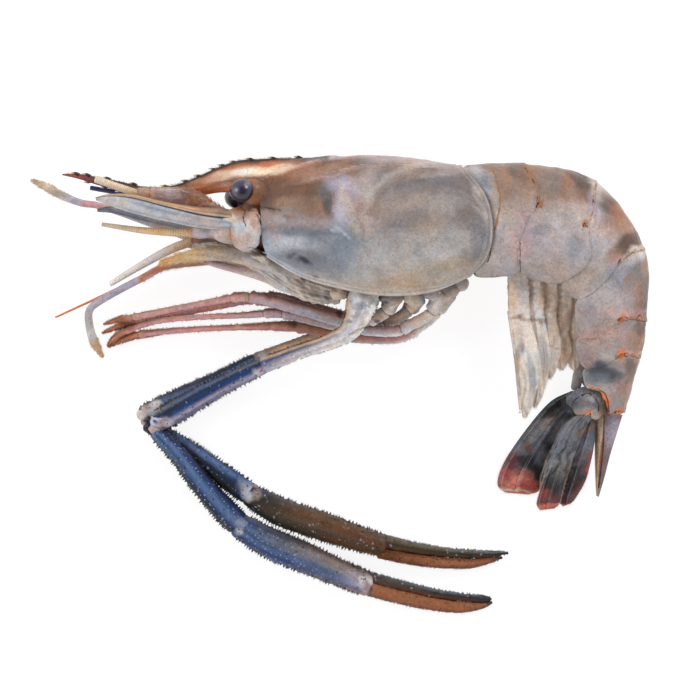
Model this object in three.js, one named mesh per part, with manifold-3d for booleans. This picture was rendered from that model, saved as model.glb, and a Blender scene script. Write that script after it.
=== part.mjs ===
// A raw giant river prawn that lies on its right side. Millimetres, +Z up.
// The head points to -X and the back to +Y. The animal's left side is uppermost, its right side is next to
// the floor, and a flat spot on the carapace, the second and third tail segments and the claws rest on it.
import * as THREE from 'three';
import { mergeVertices } from 'three/addons/utils/BufferGeometryUtils.js';
import Module from 'manifold-3d';

const wasm = await Module();
wasm.setup();

// ---- driving sizes ----
const GAP = 0.3;                  // clearance between neighbouring pieces
const SHELL = 1.3;                // thickness of a shell's free lower edge
const MID_HEIGHT = 16.6;          // height of the middle plane of head and thorax
const CARAPACE_HALF_WIDTH = 16.9; // widest place of the carapace
const ABDOMEN_HALF_WIDTH = 15.4;  // widest place of the first tail segment
const ROSTRUM_HALF_WIDTH = 1.7;   // thickest place of the saw blade
const TOOTH_LENGTH = 2.6;
const TOOTH_RADIUS = 0.75;
const EYE_RADIUS = 3.8;
const EYE_OFFSET = 8.4;           // middle of an eye from the middle plane
const WIDEST_LEVEL = 0.42;        // widest level of a shell, as a part of its height
const BELLY_LEVEL = 0.16;         // the belly lies this far above the free lower edges
const CARAPACE_EDGE = 0.8;        // how far the carapace curls in at its free lower edges
const ABDOMEN_EDGE = 0.72;        // and the tail segments
const RING_LEVELS = [0.97, 0.9, 0.78, 0.62, 0.45, 0.3, BELLY_LEVEL, 0.07, 0];
const FLOOR_SIZE = 400;
const CARAPACE_STEPS = 10;        // rings along the carapace
const SEGMENT_STEPS = 3;          // rings along each tail segment
const SEGMENTS = 6;

// ---- shared geometry ----
const point = (x, y, z = 0) => new THREE.Vector3(x, y, z);

function mix(list, u) {
  const place = THREE.MathUtils.clamp(u, 0, 1) * (list.length - 1);
  const low = Math.min(Math.floor(place), list.length - 2);
  return THREE.MathUtils.lerp(list[low], list[low + 1], place - low);
}

const through = (points) => new THREE.CatmullRomCurve3(points, false, 'catmullrom', 0.5);

// The caps of a ring whose points k and n-k mirror each other: strips from side to side
function stripCap(count) {
  const faces = [[0, 1, count - 1]];
  for (let k = 1; k < count / 2 - 1; k++) {
    faces.push([k, k + 1, count - k - 1], [k, count - k - 1, count - k]);
  }
  faces.push([count / 2 - 1, count / 2, count / 2 + 1]);
  return faces;
}

// The cap of a horseshoe ring: strips down to the belly, then a fan on each hanging side
function horseshoeCap(count, belly) {
  const mirror = (k) => (count - k) % count;
  const lastOuter = RING_LEVELS.length;
  const corner = lastOuter + 2;
  const middle = count / 2;
  const above = belly - 1;
  const half = [];
  for (let k = belly; k <= lastOuter; k++) {
    half.push([corner, k, k + 1]);
  }
  half.push([above, belly, corner], [above, corner, middle]);
  const other = half.map(([a, b, c]) => [mirror(a), mirror(c), mirror(b)]);
  const faces = [[0, 1, count - 1]];
  for (let k = 1; k < above; k++) {
    faces.push([k, k + 1, mirror(k + 1)], [k, mirror(k + 1), mirror(k)]);
  }
  faces.push([above, middle, mirror(above)]);
  return faces.concat(half, other);
}

// One closed skin over a row of equal rings
function skin(rings, cap = stripCap(rings[0].length)) {
  const count = rings[0].length;
  const last = (rings.length - 1) * count;
  const faces = [];
  for (let r = 0; r + 1 < rings.length; r++) {
    for (let k = 0; k < count; k++) {
      const a = r * count + k;
      const b = r * count + ((k + 1) % count);
      faces.push([a, b, b + count], [a, b + count, a + count]);
    }
  }
  cap.forEach(([a, b, c]) => faces.push([a, c, b], [last + a, last + b, last + c]));
  const geometry = new THREE.BufferGeometry();
  const places = rings.flat().flatMap((p) => [p.x, p.y, p.z]);
  geometry.setAttribute('position', new THREE.Float32BufferAttribute(places, 3));
  geometry.setIndex(faces.flat());
  return facingOut(geometry);
}

// Turns all faces over when they enclose a negative volume
function facingOut(geometry) {
  const places = geometry.getAttribute('position');
  const index = Array.from(geometry.getIndex().array);
  const corner = (k) => new THREE.Vector3().fromBufferAttribute(places, index[k]);
  let volume = 0;
  for (let k = 0; k < index.length; k += 3) {
    volume += corner(k).dot(corner(k + 1).cross(corner(k + 2)));
  }
  if (volume < 0) {
    for (let k = 0; k < index.length; k += 3) {
      [index[k + 1], index[k + 2]] = [index[k + 2], index[k + 1]];
    }
    geometry.setIndex(index);
  }
  return geometry;
}

function solid(geometry) {
  const bare = geometry.clone();
  bare.deleteAttribute('normal');
  bare.deleteAttribute('uv');
  const merged = mergeVertices(bare, 1e-4);
  return new wasm.Manifold(new wasm.Mesh({
    numProp: 3,
    vertProperties: new Float32Array(merged.getAttribute('position').array),
    triVerts: new Uint32Array(merged.getIndex().array),
  }));
}

function surfaceOf(manifold) {
  const mesh = manifold.getMesh();
  const geometry = new THREE.BufferGeometry();
  geometry.setAttribute('position', new THREE.BufferAttribute(new Float32Array(mesh.vertProperties), 3));
  geometry.setIndex(new THREE.BufferAttribute(new Uint32Array(mesh.triVerts), 1));
  return geometry;
}

const joined = (...parts) => surfaceOf(parts.map(solid).reduce((sum, next) => sum.add(next)));

const without = (geometry, ...cutters) =>
  surfaceOf(cutters.map(solid).reduce((rest, next) => rest.subtract(next), solid(geometry)));

// Cuts a small flat resting spot where a piece would reach into the floor
function restingOnFloor(geometry) {
  const below = new THREE.BoxGeometry(FLOOR_SIZE, FLOOR_SIZE, FLOOR_SIZE);
  below.translate(0, 0, -FLOOR_SIZE / 2);
  return without(geometry, below);
}

// A limb: stations of [x, y, z, half width in the XY plane, half thickness along Z]
function limb(stations, { sides = 8, steps = 2, grow = 0, blunt = 0.6, domed = 0.35 } = {}) {
  const path = through(stations.map(([x, y, z]) => point(x, y, z)));
  const size = through(stations.map((s) => point(s[3], s[4])));
  const count = (stations.length - 1) * steps;
  const rings = [];
  for (let k = -1; k <= count + 1; k++) {
    const u = THREE.MathUtils.clamp(k / count, 0, 1);
    const atEnd = k < 0 || k > count;
    const radii = size.getPoint(u);
    const along = path.getTangent(u);
    const side = point(0, 0, 1).cross(along).normalize();
    const up = along.clone().cross(side);
    const reach = atEnd ? Math.sign(k) * (domed * Math.min(radii.x, radii.y) + grow) : 0;
    const centre = path.getPoint(u).addScaledVector(along, reach);
    const scale = atEnd ? blunt : 1;
    rings.push(ellipse(centre, side, up, radii.x * scale + grow, radii.y * scale + grow, sides));
  }
  return skin(rings);
}

function ellipse(centre, side, up, wide, thick, sides) {
  const ring = [];
  for (let k = 0; k < sides; k++) {
    const angle = (2 * Math.PI * k) / sides;
    ring.push(centre.clone()
      .addScaledVector(side, wide * Math.cos(angle))
      .addScaledVector(up, thick * Math.sin(angle)));
  }
  return ring;
}

const EDGE_PART = 0.25; // a blade's edge is this part as thick as its middle

// A thin blade: stations of [one edge x, y, other edge x, y, z, half thickness], domed by camber
function blade(stations, { steps = 3, camber = 0.6, across = 4 } = {}) {
  const edgeA = through(stations.map(([x, y]) => point(x, y)));
  const edgeB = through(stations.map((s) => point(s[2], s[3])));
  const size = through(stations.map((s) => point(s[4], s[5])));
  const count = (stations.length - 1) * steps;
  const rings = [];
  for (let k = 0; k <= count; k++) {
    const u = k / count;
    const level = size.getPoint(u);
    const at = (w, side) => {
      const place = edgeA.getPoint(u).lerp(edgeB.getPoint(u), w);
      const arch = 4 * w * (1 - w);
      place.z = level.x + camber * arch + side * level.y * (EDGE_PART + (1 - EDGE_PART) * arch);
      return place;
    };
    const upper = [];
    const lower = [];
    for (let j = 0; j <= across; j++) {
      upper.push(at(j / across, 1));
      lower.unshift(at(j / across, -1));
    }
    rings.push([...upper, ...lower]);
  }
  return skin(rings, flatCap(across));
}

function flatCap(across) {
  const faces = [];
  const count = 2 * (across + 1);
  for (let k = 0; k < across; k++) {
    faces.push([k, k + 1, count - 2 - k], [k, count - 2 - k, count - 1 - k]);
  }
  return faces;
}

// ---- shells of the body ----
// A section runs from the lower edge to the back through five points. Beside it stand its half width as a
// part of the body's, the height of its middle plane and the sharpness of the back (0.5 round, 1 roof-like).
const CARAPACE_SECTIONS = [
  { line: [[-21.1, 37.9], [-22.9, 44.9], [-23.2, 51.8], [-24.2, 58.8], [-28, 66.8]], width: 0.56, roof: 1.2 },
  {
    line: [[-11.5, 32.2], [-13.3, 40.4], [-13.9, 49.9], [-14.5, 59.5], [-15.8, 67.5]],
    width: 0.78,
    roof: 0.8,
  },
  { line: [[0.4, 28.5], [-1.3, 38.2], [-2.2, 48.8], [-2.5, 58.9], [-2.5, 68.2]], width: 0.93, roof: 0.62 },
  { line: [[13.9, 26.4], [13, 36.8], [12.4, 47.5], [12.2, 58.3], [12.2, 68.6]], width: 1, roof: 0.52 },
  { line: [[27.4, 27.4], [28.6, 37.4], [28.9, 47.5], [28.1, 57.8], [25.6, 67.3]], width: 1, roof: 0.5 },
  { line: [[39.4, 32.2], [44.2, 38.2], [45.8, 46.4], [43.9, 55.9], [36.8, 65.5]], width: 0.93, roof: 0.5 },
].map((s) => ({ ...s, width: s.width * CARAPACE_HALF_WIDTH, height: MID_HEIGHT }));

const ABDOMEN_SECTIONS = [
  { line: [[40.2, 31.9], [45, 37.9], [46.6, 46.3], [44.7, 56.1], [37.7, 65.6]], width: 1, height: 16.2 },
  { line: [[53.9, 32.2], [53.9, 40.9], [57.1, 49.9], [59.2, 57.8], [55, 66.1]], width: 0.99, height: 15.5 },
  { line: [[65.2, 28.9], [74.2, 36.8], [74, 46.4], [75.8, 53.9], [76.6, 61]], width: 0.97, height: 14.9 },
  { line: [[70, 24.4], [76.6, 28.6], [81.8, 34.4], [86.5, 39.1], [91.5, 40.9]], width: 0.91, height: 14 },
  { line: [[70.3, 13.9], [77.5, 14.5], [82.3, 18.4], [86.8, 19.9], [92.2, 19.3]], width: 0.81, height: 12.6 },
  { line: [[72.5, 4.6], [78.5, 5.5], [82.3, 7.9], [86.2, 9.2], [90.5, 8.2]], width: 0.7, height: 11.2 },
  { line: [[73.6, -1.1], [77.5, -1.3], [79.6, -4.6], [81.5, -9.2], [86, -7.9]], width: 0.55, height: 9.6 },
].map((s) => ({ ...s, width: s.width * ABDOMEN_HALF_WIDTH, roof: 0.5 }));

// Half width at a level of a shell, as a part of the greatest half width
function fullness(level, roof, lowerEdge) {
  if (level > WIDEST_LEVEL) {
    const rise = (level - WIDEST_LEVEL) / (1 - WIDEST_LEVEL);
    return (1 - rise * rise) ** roof;
  }
  const fall = (lowerEdge * (WIDEST_LEVEL - level)) / WIDEST_LEVEL;
  return Math.sqrt(1 - fall * fall);
}

// A shell through its sections. place(u, level) is a point of the middle plane
function shell(sections, lowerEdge) {
  const lines = sections.map((s) => through(s.line.map(([x, y]) => point(x, y))));
  const place = (u, level) => through(lines.map((line) => line.getPoint(level))).getPoint(u);
  const value = (key, u) => mix(sections.map((s) => s[key]), u);
  const halfWidth = (u, level) => value('width', u) * fullness(level, value('roof', u), lowerEdge);
  return { place, value, halfWidth };
}

// One ring of a shell at u, moved by shift along the body
function shellRing(body, u, shift, grow = 0) {
  const nudge = 0.002;
  const height = body.value('height', u);
  const spot = (level, side) => {
    const ahead = body.place(Math.min(u + nudge, 1), level);
    const along = ahead.sub(body.place(Math.max(u - nudge, 0), level)).normalize();
    const place = body.place(u, level).addScaledVector(along, shift);
    place.z = height + side;
    return place;
  };
  const side = RING_LEVELS.map((level) => [level, body.halfWidth(u, level) + grow]);
  const inner = body.halfWidth(u, 0) - SHELL;
  side.push([0.01, inner], [BELLY_LEVEL, inner + 0.6]);
  const left = side.map(([level, out]) => spot(level, out));
  const right = side.map(([level, out]) => spot(level, -out)).reverse();
  return [spot(1, 0), ...left, spot(BELLY_LEVEL, 0), ...right];
}

// A stretch of a shell from start to end, half a gap short of its neighbours, or grown to cut one of them
function shellPiece(body, start, end, steps, grow = 0) {
  const inset = GAP / 2 - grow;
  const rings = [];
  for (let k = 0; k <= steps; k++) {
    const shift = k === 0 ? inset : k === steps ? -inset : 0;
    rings.push(shellRing(body, start + ((end - start) * k) / steps, shift, grow));
  }
  const belly = RING_LEVELS.indexOf(BELLY_LEVEL) + 1;
  return skin(rings, horseshoeCap(rings[0].length, belly));
}

const thorax = shell(CARAPACE_SECTIONS, CARAPACE_EDGE);
const abdomen = shell(ABDOMEN_SECTIONS, ABDOMEN_EDGE);

// ---- carapace with its saw-edged rostrum ----
// [x, upper edge y, lower edge y, part of the greatest half thickness]
const ROSTRUM = [
  [-8, 67.9, 60, 1], [-22.9, 67.4, 55, 1], [-29.5, 67, 57.2, 1], [-35.5, 65.1, 57.4, 0.95],
  [-41.5, 62.4, 56.4, 0.95], [-47.5, 60, 55.9, 0.9], [-53.5, 58.8, 56.1, 0.85],
  [-59.5, 59.3, 56.5, 0.7], [-65.5, 60.7, 57.9, 0.6],
  [-71.5, 61.9, 59.5, 0.45], [-77.5, 62.9, 61.4, 0.35], [-82.6, 63, 62.6, 0.15],
];
const UPPER_TEETH = [-78.8, -75.5, -69.5, -61.6, -52, -46, -42.1, -37.6, -34.9, -31.6, -26.6, -19.9, -12.2];
const LOWER_TEETH = [-75, -70, -65.5];

function rostrumBlade() {
  const rings = ROSTRUM.map(([x, top, bottom, part]) => {
    const thick = part * ROSTRUM_HALF_WIDTH;
    const level = (part) => THREE.MathUtils.lerp(bottom, top, part);
    const rows = [[top, 0.12], [level(0.65), 0.55], [level(0.4), 1], [bottom, 0.2]];
    const left = rows.map(([y, w]) => point(x, y, MID_HEIGHT + w * thick));
    const right = rows.map(([y, w]) => point(x, y, MID_HEIGHT - w * thick)).reverse();
    return [...left, ...right];
  });
  return skin(rings, flatCap(3));
}

const edgeAt = (x, column) => {
  const next = ROSTRUM.findIndex((row) => row[0] <= x);
  const [from, to] = [ROSTRUM[next - 1], ROSTRUM[next]];
  return THREE.MathUtils.mapLinear(x, from[0], to[0], from[column], to[column]);
};

function tooth(x, y, lean, size) {
  const cone = new THREE.ConeGeometry(TOOTH_RADIUS * size, TOOTH_LENGTH * size, 5);
  cone.translate(0, TOOTH_LENGTH * size * 0.3, 0);
  cone.rotateZ(lean);
  cone.translate(x, y, MID_HEIGHT);
  return cone;
}

function carapace() {
  const upLean = THREE.MathUtils.degToRad(58);
  const downLean = THREE.MathUtils.degToRad(135);
  const upper = UPPER_TEETH.map((x) => tooth(x + 1, edgeAt(x, 1) - 0.1, upLean, 1));
  const lower = LOWER_TEETH.map((x) => tooth(x + 1, edgeAt(x, 2) + 0.2, downLean, 0.6));
  const body = shellPiece(thorax, 0, 1, CARAPACE_STEPS);
  return restingOnFloor(joined(body, rostrumBlade(), ...upper, ...lower));
}

// ---- underside of the thorax, in the recess between the carapace's lower edges ----
// How far it hangs below the lower edge, from front to rear
const THORAX_DROP = [0.6, 2.4, 3.8, 4.2, 2.6, 1.6, 1.5, 1.9, 2.4, 1.4];
const THORAX_TOP_LEVEL = 0.12;

function thoraxUnderside(grow = 0) {
  const rings = [];
  const steps = THORAX_DROP.length - 1;
  for (let k = 0; k <= steps; k++) {
    const u = 0.03 + (0.93 * k) / steps;
    const top = thorax.place(u, THORAX_TOP_LEVEL);
    const edge = thorax.place(u, 0);
    const down = edge.clone().sub(top).normalize();
    const bottom = edge.clone().addScaledVector(down, THORAX_DROP[k]);
    const half = thorax.halfWidth(u, 0) - SHELL - 1;
    const centre = top.clone().lerp(bottom, 0.5);
    centre.z = MID_HEIGHT;
    const long = top.distanceTo(bottom) / 2;
    rings.push(ellipse(centre, down, point(0, 0, 1), long + grow, half + grow, 10));
  }
  return skin(rings);
}

const thoraxCutter = thoraxUnderside(GAP);

// ---- head in front of the carapace ----
function headBlock(grow = 0) {
  return limb([
    [-26, 48, MID_HEIGHT, 6.2, 6.2], [-27.6, 47.6, MID_HEIGHT, 6.2, 6], [-29.6, 47.4, MID_HEIGHT, 5.6, 5.2],
  ], { sides: 10, grow, blunt: 0.85 });
}

const headCutter = headBlock(GAP);

function eye(side) {
  const middle = MID_HEIGHT + side * EYE_OFFSET;
  const [x, y] = side > 0 ? [-28.6, 57.8] : [-30.4, 56.2];
  const ball = new THREE.SphereGeometry(EYE_RADIUS, 12, 8);
  ball.translate(x, y, middle);
  const stalk = limb([
    [-25.4, 55.2, MID_HEIGHT + side * 4.4, 1.6, 1.4], [x + 1, y - 0.5, middle - side * 1.5, 2.6, 2.4],
  ], { sides: 8 });
  return joined(ball, stalk);
}

// ---- antennae ----
// The round base of an antenna and the stem in front of it
function antennaStem(side) {
  const middle = MID_HEIGHT + side * 7.9;
  const z = MID_HEIGHT + side * 3.6;
  const y = side > 0 ? 45.3 : 42.2;
  const base = limb([
    [-24.2, 46.4, middle, 4.8, 2.5], [-27.4, 45.8, middle + side * 0.3, 5.4, 2.9],
    [-30.2, 45.6, middle, 4.2, 2.4],
  ]);
  const stem = limb([
    [-30.4, y - 0.6, z + side * 2, 2.2, 2.4], [-37, y + 0.4, z, 2, 1.9], [-44.6, y, z, 1.5, 1.4],
  ]);
  return without(joined(base, stem), headCutter);
}

// The two scales: leaf plates that reach past the head
function antennalScale(side) {
  const lift = side > 0 ? 0 : -3.2;
  const z = MID_HEIGHT + side * 7.2;
  return blade([
    [-33.2, 51.4 + lift * 0.4, -32.8, 45 + lift * 0.4, z + side * 0.3, 0.9],
    [-41.5, 52 + lift * 0.4, -40.6, 46.3 + lift * 0.4, z + side * 0.4, 0.9],
    [-50.5, 53.8 + lift * 0.6, -50, 48.6 + lift * 0.5, z, 0.8],
    [-60.8, 56.6 + lift, -60.2, 51.1 + lift * 0.5, z - side * 0.8, 0.7],
    [-68, 56.9 + lift, -67.6, 53.4 + lift * 0.6, z - side * 1.6, 0.55],
    [-72.4, 55.9 + lift, -72.2, 55.1 + lift, z - side * 2, 0.3],
  ], { camber: side * 1, steps: 2, across: 3 });
}

function antennule(side) {
  const z = MID_HEIGHT + side * 3.5;
  const drop = side > 0 ? 0 : -0.6;
  return without(limb([
    [-30.4, 51.8 + drop, z, 1.9, 1.9], [-37, 53.4 + drop, z, 1.9, 1.9],
    [-44.5, 55.3 + drop, z, 2.3, 1.9], [-46, 55.5 + drop, z, 2.1, 1.7],
    [-54.5, 56.5 + drop, z, 1.8, 1.5], [-56, 56.5 + drop, z, 1.4, 1.3],
    [-59.8, 56.7 + drop, z, 1.3, 1.1],
  ], { sides: 8, steps: 1 }), headCutter);
}

const FLAGELLA = {
  antenna_flagellum_left: [
    [-45.6, 45.4, 20.2, 1.15, 1.15], [-50.5, 45.5, 19.6, 1.1, 1.1], [-59.5, 46.2, 18, 0.85, 0.85],
    [-70.6, 47.9, 15.6, 0.5, 0.5],
  ],
  antenna_flagellum_right: [
    [-45.7, 42.4, 13, 1.2, 1.2], [-50.5, 40.4, 12.6, 1.1, 1.1], [-59.5, 35.5, 11.4, 0.8, 0.8],
    [-68.5, 30.1, 9.6, 0.5, 0.5],
  ],
  antennule_flagellum_left: [
    [-61.2, 57.2, 20.1, 1, 1], [-66, 59.1, 19.8, 1, 1], [-72.3, 61.3, 19.4, 1.05, 1.05],
  ],
  antennule_flagellum_right: [
    [-61.2, 56.4, 13, 0.6, 0.6], [-67, 57.2, 13.2, 0.6, 0.6], [-74, 58.3, 13.4, 0.5, 0.5],
  ],
  thin_flagellum_right: [
    [-47, 37.6, 9.6, 0.55, 0.55], [-59.5, 32, 8.6, 0.45, 0.45], [-72.5, 26, 5, 0.38, 0.38],
    [-85.3, 20.2, 1.6, 0.25, 0.25],
  ],
};

// ---- mouth legs and first walking legs ----
const MOUTH_LEGS = {
  maxilliped_left: [
    [-11.5, 33, 18.9, 1.9, 1.4], [-22.9, 36.8, 19.4, 2.1, 1.5], [-32.5, 39, 19.6, 2, 1.5],
    [-41.5, 38.9, 19.2, 1.5, 1.1], [-52, 36.8, 18.4, 0.5, 0.5],
  ],
  maxilliped_right: [
    [-11.5, 32.8, 13.6, 1.9, 1.3], [-22.9, 36, 13.4, 2, 1.4], [-34.5, 37.6, 12.6, 1.9, 1.4],
    [-45.5, 36.4, 12.2, 1.2, 0.9], [-53.5, 34.7, 11.6, 0.8, 0.6], [-58.9, 31.2, 10.8, 0.35, 0.35],
  ],
};

const FIRST_LEGS = {
  first_leg_left: [
    [-3, 28.2, 17.4, 1.9, 1.4], [-11.5, 28.4, 16.4, 1.8, 1.2], [-17, 29.9, 15.9, 1.85, 1.2],
    [-22, 32.2, 15.7, 1.6, 1.1], [-34, 35.3, 15.7, 1.1, 0.95], [-46, 37.8, 15.6, 1.1, 0.95],
    [-59.5, 31.5, 13.2, 1.1, 0.95],
    [-71.5, 25.1, 8, 1.1, 0.95], [-75, 21.8, 6, 1.15, 0.95], [-74.6, 16, 4.4, 1.3, 1],
    [-73.2, 12, 3, 1.3, 0.9], [-71, 8.2, 1.8, 0.35, 0.35],
  ],
  first_leg_right: [
    [-3, 27.8, 12.4, 1.6, 1.3], [-12, 30.2, 8.6, 1.3, 1.1], [-24, 35.5, 7.4, 1.2, 1],
    [-46, 44.4, 6.6, 1.1, 0.95], [-69.5, 53, 5.4, 1.05, 0.9], [-77.5, 54.6, 4.6, 1.1, 0.95],
    [-83.5, 57, 3.6, 1.25, 1], [-88, 59.4, 2.8, 1.2, 0.9], [-92.6, 61.6, 2, 0.35, 0.35],
  ],
};

const WALKING_LEGS = {
  walking_leg_left_1: [
    [16.4, 25.6, 20.6, 2.6, 1.6], [14, 21.8, 17.6, 2, 1.3], [9.2, 19.3, 15.4, 1.8, 1.15],
    [1.9, 18.8, 15, 1.75, 1.15], [-11.5, 22.6, 13.8, 1.9, 1.2], [-26.4, 26.2, 12.6, 1.6, 1.15],
    [-39.4, 24.6, 10.6, 0.95, 0.85], [-61.6, 20.2, 8, 0.85, 0.75], [-70.6, 18.1, 6.8, 0.2, 0.2],
  ],
  walking_leg_left_2: [
    [23.8, 25.8, 19.4, 2.6, 1.6], [21, 22.2, 15, 1.9, 1.3], [14, 18.8, 11, 1.6, 1.15],
    [1.9, 20.4, 9.7, 1.65, 1.1], [-10, 23.7, 9.2, 1.7, 1.15], [-21.1, 26.4, 8.4, 1.4, 1.1],
    [-34.9, 23.6, 7, 0.9, 0.85], [-59.5, 19, 4.2, 0.8, 0.7], [-71.2, 15.4, 3, 0.2, 0.2],
  ],
  walking_leg_left_3: [
    [30, 27, 20.2, 2.6, 1.7], [27.4, 21.4, 18.8, 1.8, 1.3], [22.1, 18.2, 16.8, 1.7, 1.2],
    [16.3, 15.9, 13.9, 1.6, 1.15], [1.9, 17.2, 12.4, 1.65, 1.1], [-16.6, 21.2, 10.9, 1.5, 1.1],
    [-28.6, 20.8, 9.6, 0.95, 0.85], [-52, 19.4, 6.5, 0.85, 0.75], [-64, 16, 4.8, 0.75, 0.6],
    [-69.4, 11.3, 4.2, 0.2, 0.2],
  ],
  walking_leg_right_3: [
    [33, 27, 13.2, 2.6, 1.7], [29.4, 21.6, 11.2, 1.8, 1.3], [24.6, 17.6, 10.4, 1.7, 1.2],
    [17.9, 14, 9.8, 1.6, 1.15],
    [3.4, 14.3, 9.7, 1.65, 1.15], [-12.4, 17.2, 8.8, 1.6, 1.15], [-28.1, 17.2, 7.4, 0.95, 0.85],
    [-47.5, 16.3, 5.2, 0.85, 0.75], [-60.1, 15.1, 3.6, 0.8, 0.65], [-69.5, 11.2, 1.8, 0.2, 0.2],
  ],
  walking_leg_right_1: [
    [14.8, 25.8, 12.4, 1.9, 1.4], [13.4, 21, 8.2, 1.5, 1.1], [1.9, 19.5, 7.2, 1.4, 1],
    [-11.5, 22.4, 6.4, 1.4, 1], [-25, 25.2, 5.6, 1.3, 1], [-39.4, 23.6, 4.2, 0.85, 0.75],
    [-60, 19.2, 2, 0.75, 0.65], [-67, 17.4, 1.1, 0.25, 0.25],
  ],
  walking_leg_right_2: [
    [22.3, 26.2, 12.2, 1.9, 1.4], [18.5, 19.5, 8.2, 1.5, 1.1], [10, 16.7, 7.2, 1.4, 1],
    [1.9, 16.3, 7.1, 1.35, 1], [-12.4, 17.8, 6, 1.35, 1], [-28.1, 17.4, 4.8, 0.85, 0.8],
    [-47.5, 16.2, 2.8, 0.75, 0.65], [-58, 14.8, 1.6, 0.65, 0.5], [-65.5, 12.8, 0.8, 0.25, 0.25],
  ],
};

function legOnThorax(stations) {
  return without(limb(stations, { sides: 6 }), thoraxCutter);
}

// ---- the long claws ----
const CLAW_LEFT = {
  base: [
    [7.8, 26.8, 21.4, 4.3, 3.2], [6.9, 23.8, 21.7, 4.2, 3.6], [5.4, 19.4, 21.2, 3.2, 3.2],
    [2.2, 15.2, 20, 2.6, 2.7],
    [-5, 12, 17.2, 2.15, 2.3], [-11.5, 10, 14.8, 2.1, 2.2], [-22, 6, 11.2, 2.5, 2.5],
  ],
  merus: [
    [-23.2, 5.4, 10.8, 2.45, 2.5], [-34, 0.2, 9.8, 2.75, 2.6], [-41.5, -3.8, 9.2, 3.1, 2.7],
    [-49, -8.2, 8.8, 3.4, 2.8], [-54, -10.9, 8.6, 3.1, 2.7],
  ],
  carpus: [
    [-54, -15.1, 7.5, 2.3, 2.3], [-48, -21.3, 6.6, 2.7, 2.6], [-42.3, -28.7, 5.4, 3.1, 2.9],
    [-35.9, -36.2, 4.4, 3.5, 3.2], [-30.8, -41.4, 3.9, 3.7, 3.3],
  ],
  palm: [
    [-29.7, -42.6, 3.8, 3.7, 3.3], [-20.6, -47.8, 3.7, 4.4, 3.5], [-11.5, -51.6, 3.6, 4.5, 3.5],
    [0.4, -56.8, 3.4, 3.9, 3.3], [8.7, -60.1, 3.2, 3.6, 3.1],
  ],
  finger: [
    [7.5, -57.8, 3.4, 1.7, 2], [18.4, -60.5, 3.2, 1.4, 1.8], [30.4, -63.2, 2.8, 1.2, 1.5],
    [42.4, -64.6, 2.2, 0.95, 1], [45.6, -64.6, 2, 0.4, 0.5],
  ],
  dactyl: [
    [8.2, -61, 3.2, 2.2, 2.2], [16.9, -63.5, 3.1, 2.1, 2], [27.4, -65.9, 2.8, 1.9, 1.7],
    [36, -67, 2.4, 1.6, 1.4], [42.2, -66.7, 2, 1.05, 0.9], [45.6, -65.8, 1.8, 0.4, 0.4],
  ],
};

const CLAW_RIGHT = {
  base: [
    [8.4, 25, 11.2, 2.4, 2.1], [8.2, 24, 6.6, 2.4, 2.2], [5.2, 21.4, 3.1, 2.8, 2.4],
    [1.9, 18.4, 2.9, 2.9, 2.5], [-1.1, 15.6, 2.9, 2.9, 2.5], [-11.5, 11.7, 2.9, 2.5, 2.5],
    [-24.4, 7.2, 2.8, 2.4, 2.4],
  ],
  merus: [
    [-25.6, 6.6, 2.8, 2.4, 2.4], [-35.5, 1.6, 2.8, 2.6, 2.5], [-47.5, -3.9, 2.9, 2.8, 2.6],
    [-58.2, -8.8, 3, 2.6, 2.5],
  ],
  carpus: [
    [-57.2, -12.5, 2.8, 2, 2.1], [-49, -17, 2.5, 2.3, 2.2], [-41.5, -22.2, 2.8, 2.8, 2.5],
    [-34, -27.9, 3.3, 3.2, 2.8], [-27.6, -32.4, 3.6, 3.3, 3],
  ],
  palm: [
    [-26.5, -33.4, 3.7, 3.3, 3.1], [-17.6, -38.3, 3.7, 4.1, 3.4], [-5.5, -42.5, 3.6, 4.2, 3.4],
    [3.5, -45.6, 3.5, 3.8, 3.3], [13, -48.4, 3.2, 3.3, 3],
  ],
  finger: [
    [12.6, -47, 3.3, 1.9, 2], [18.4, -48.5, 3.2, 1.8, 1.9], [30.4, -50.4, 2.8, 1.35, 1.5],
    [42.4, -51.2, 2.3, 1, 1.1], [50.5, -50.8, 1.8, 0.35, 0.4],
  ],
  dactyl: [
    [12.8, -50.8, 3.1, 1.7, 1.9], [24.4, -52.9, 3, 1.6, 1.8], [33.4, -53.8, 2.7, 1.5, 1.5],
    [41, -53.8, 2.4, 1.2, 1.2], [48.8, -52.3, 1.8, 0.45, 0.45],
  ],
};

const CLAW_SHAPE = { sides: 10, blunt: 0.9, domed: 0.12 };

function clawPalm(claw) {
  return joined(limb(claw.palm, CLAW_SHAPE), limb(claw.finger));
}

function clawDactyl(claw) {
  const cutters = [limb(claw.palm, { ...CLAW_SHAPE, grow: GAP }), limb(claw.finger, { grow: GAP })];
  return without(limb(claw.dactyl), ...cutters);
}

// ---- swimming legs under the first tail segments: a stalk and two leaves each ----
// [stalk top x, y, joint x, y, middle of the leaf x, y, tip x, y, leaf half width]
const SWIMMING_LEGS = [
  [52.7, 33.2, 53.6, 20, 55.6, 6, 55.9, -9.4, 2.8],
  [57.5, 32, 57.9, 20, 59.4, 7.4, 58.7, -6.7, 2.7],
  [62.6, 30, 61.9, 18.8, 63, 11, 62.6, 2, 2.7],
  [68.2, 24.6, 65.3, 14.9, 66.2, 10.4, 66.5, 5, 2.5],
  [71.2, 14.8, 69.2, 11, 69.5, 8.6, 70.6, 4.4, 1.9],
];
// Height of each swimming leg above the floor, from the first segment to the fifth
const SWIMMING_LEG_LAYERS = { left: [20.6, 18.7, 16.8, 15.2, 13.7], right: [9.2, 10.8, 12.4, 11, 9.4] };

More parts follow.
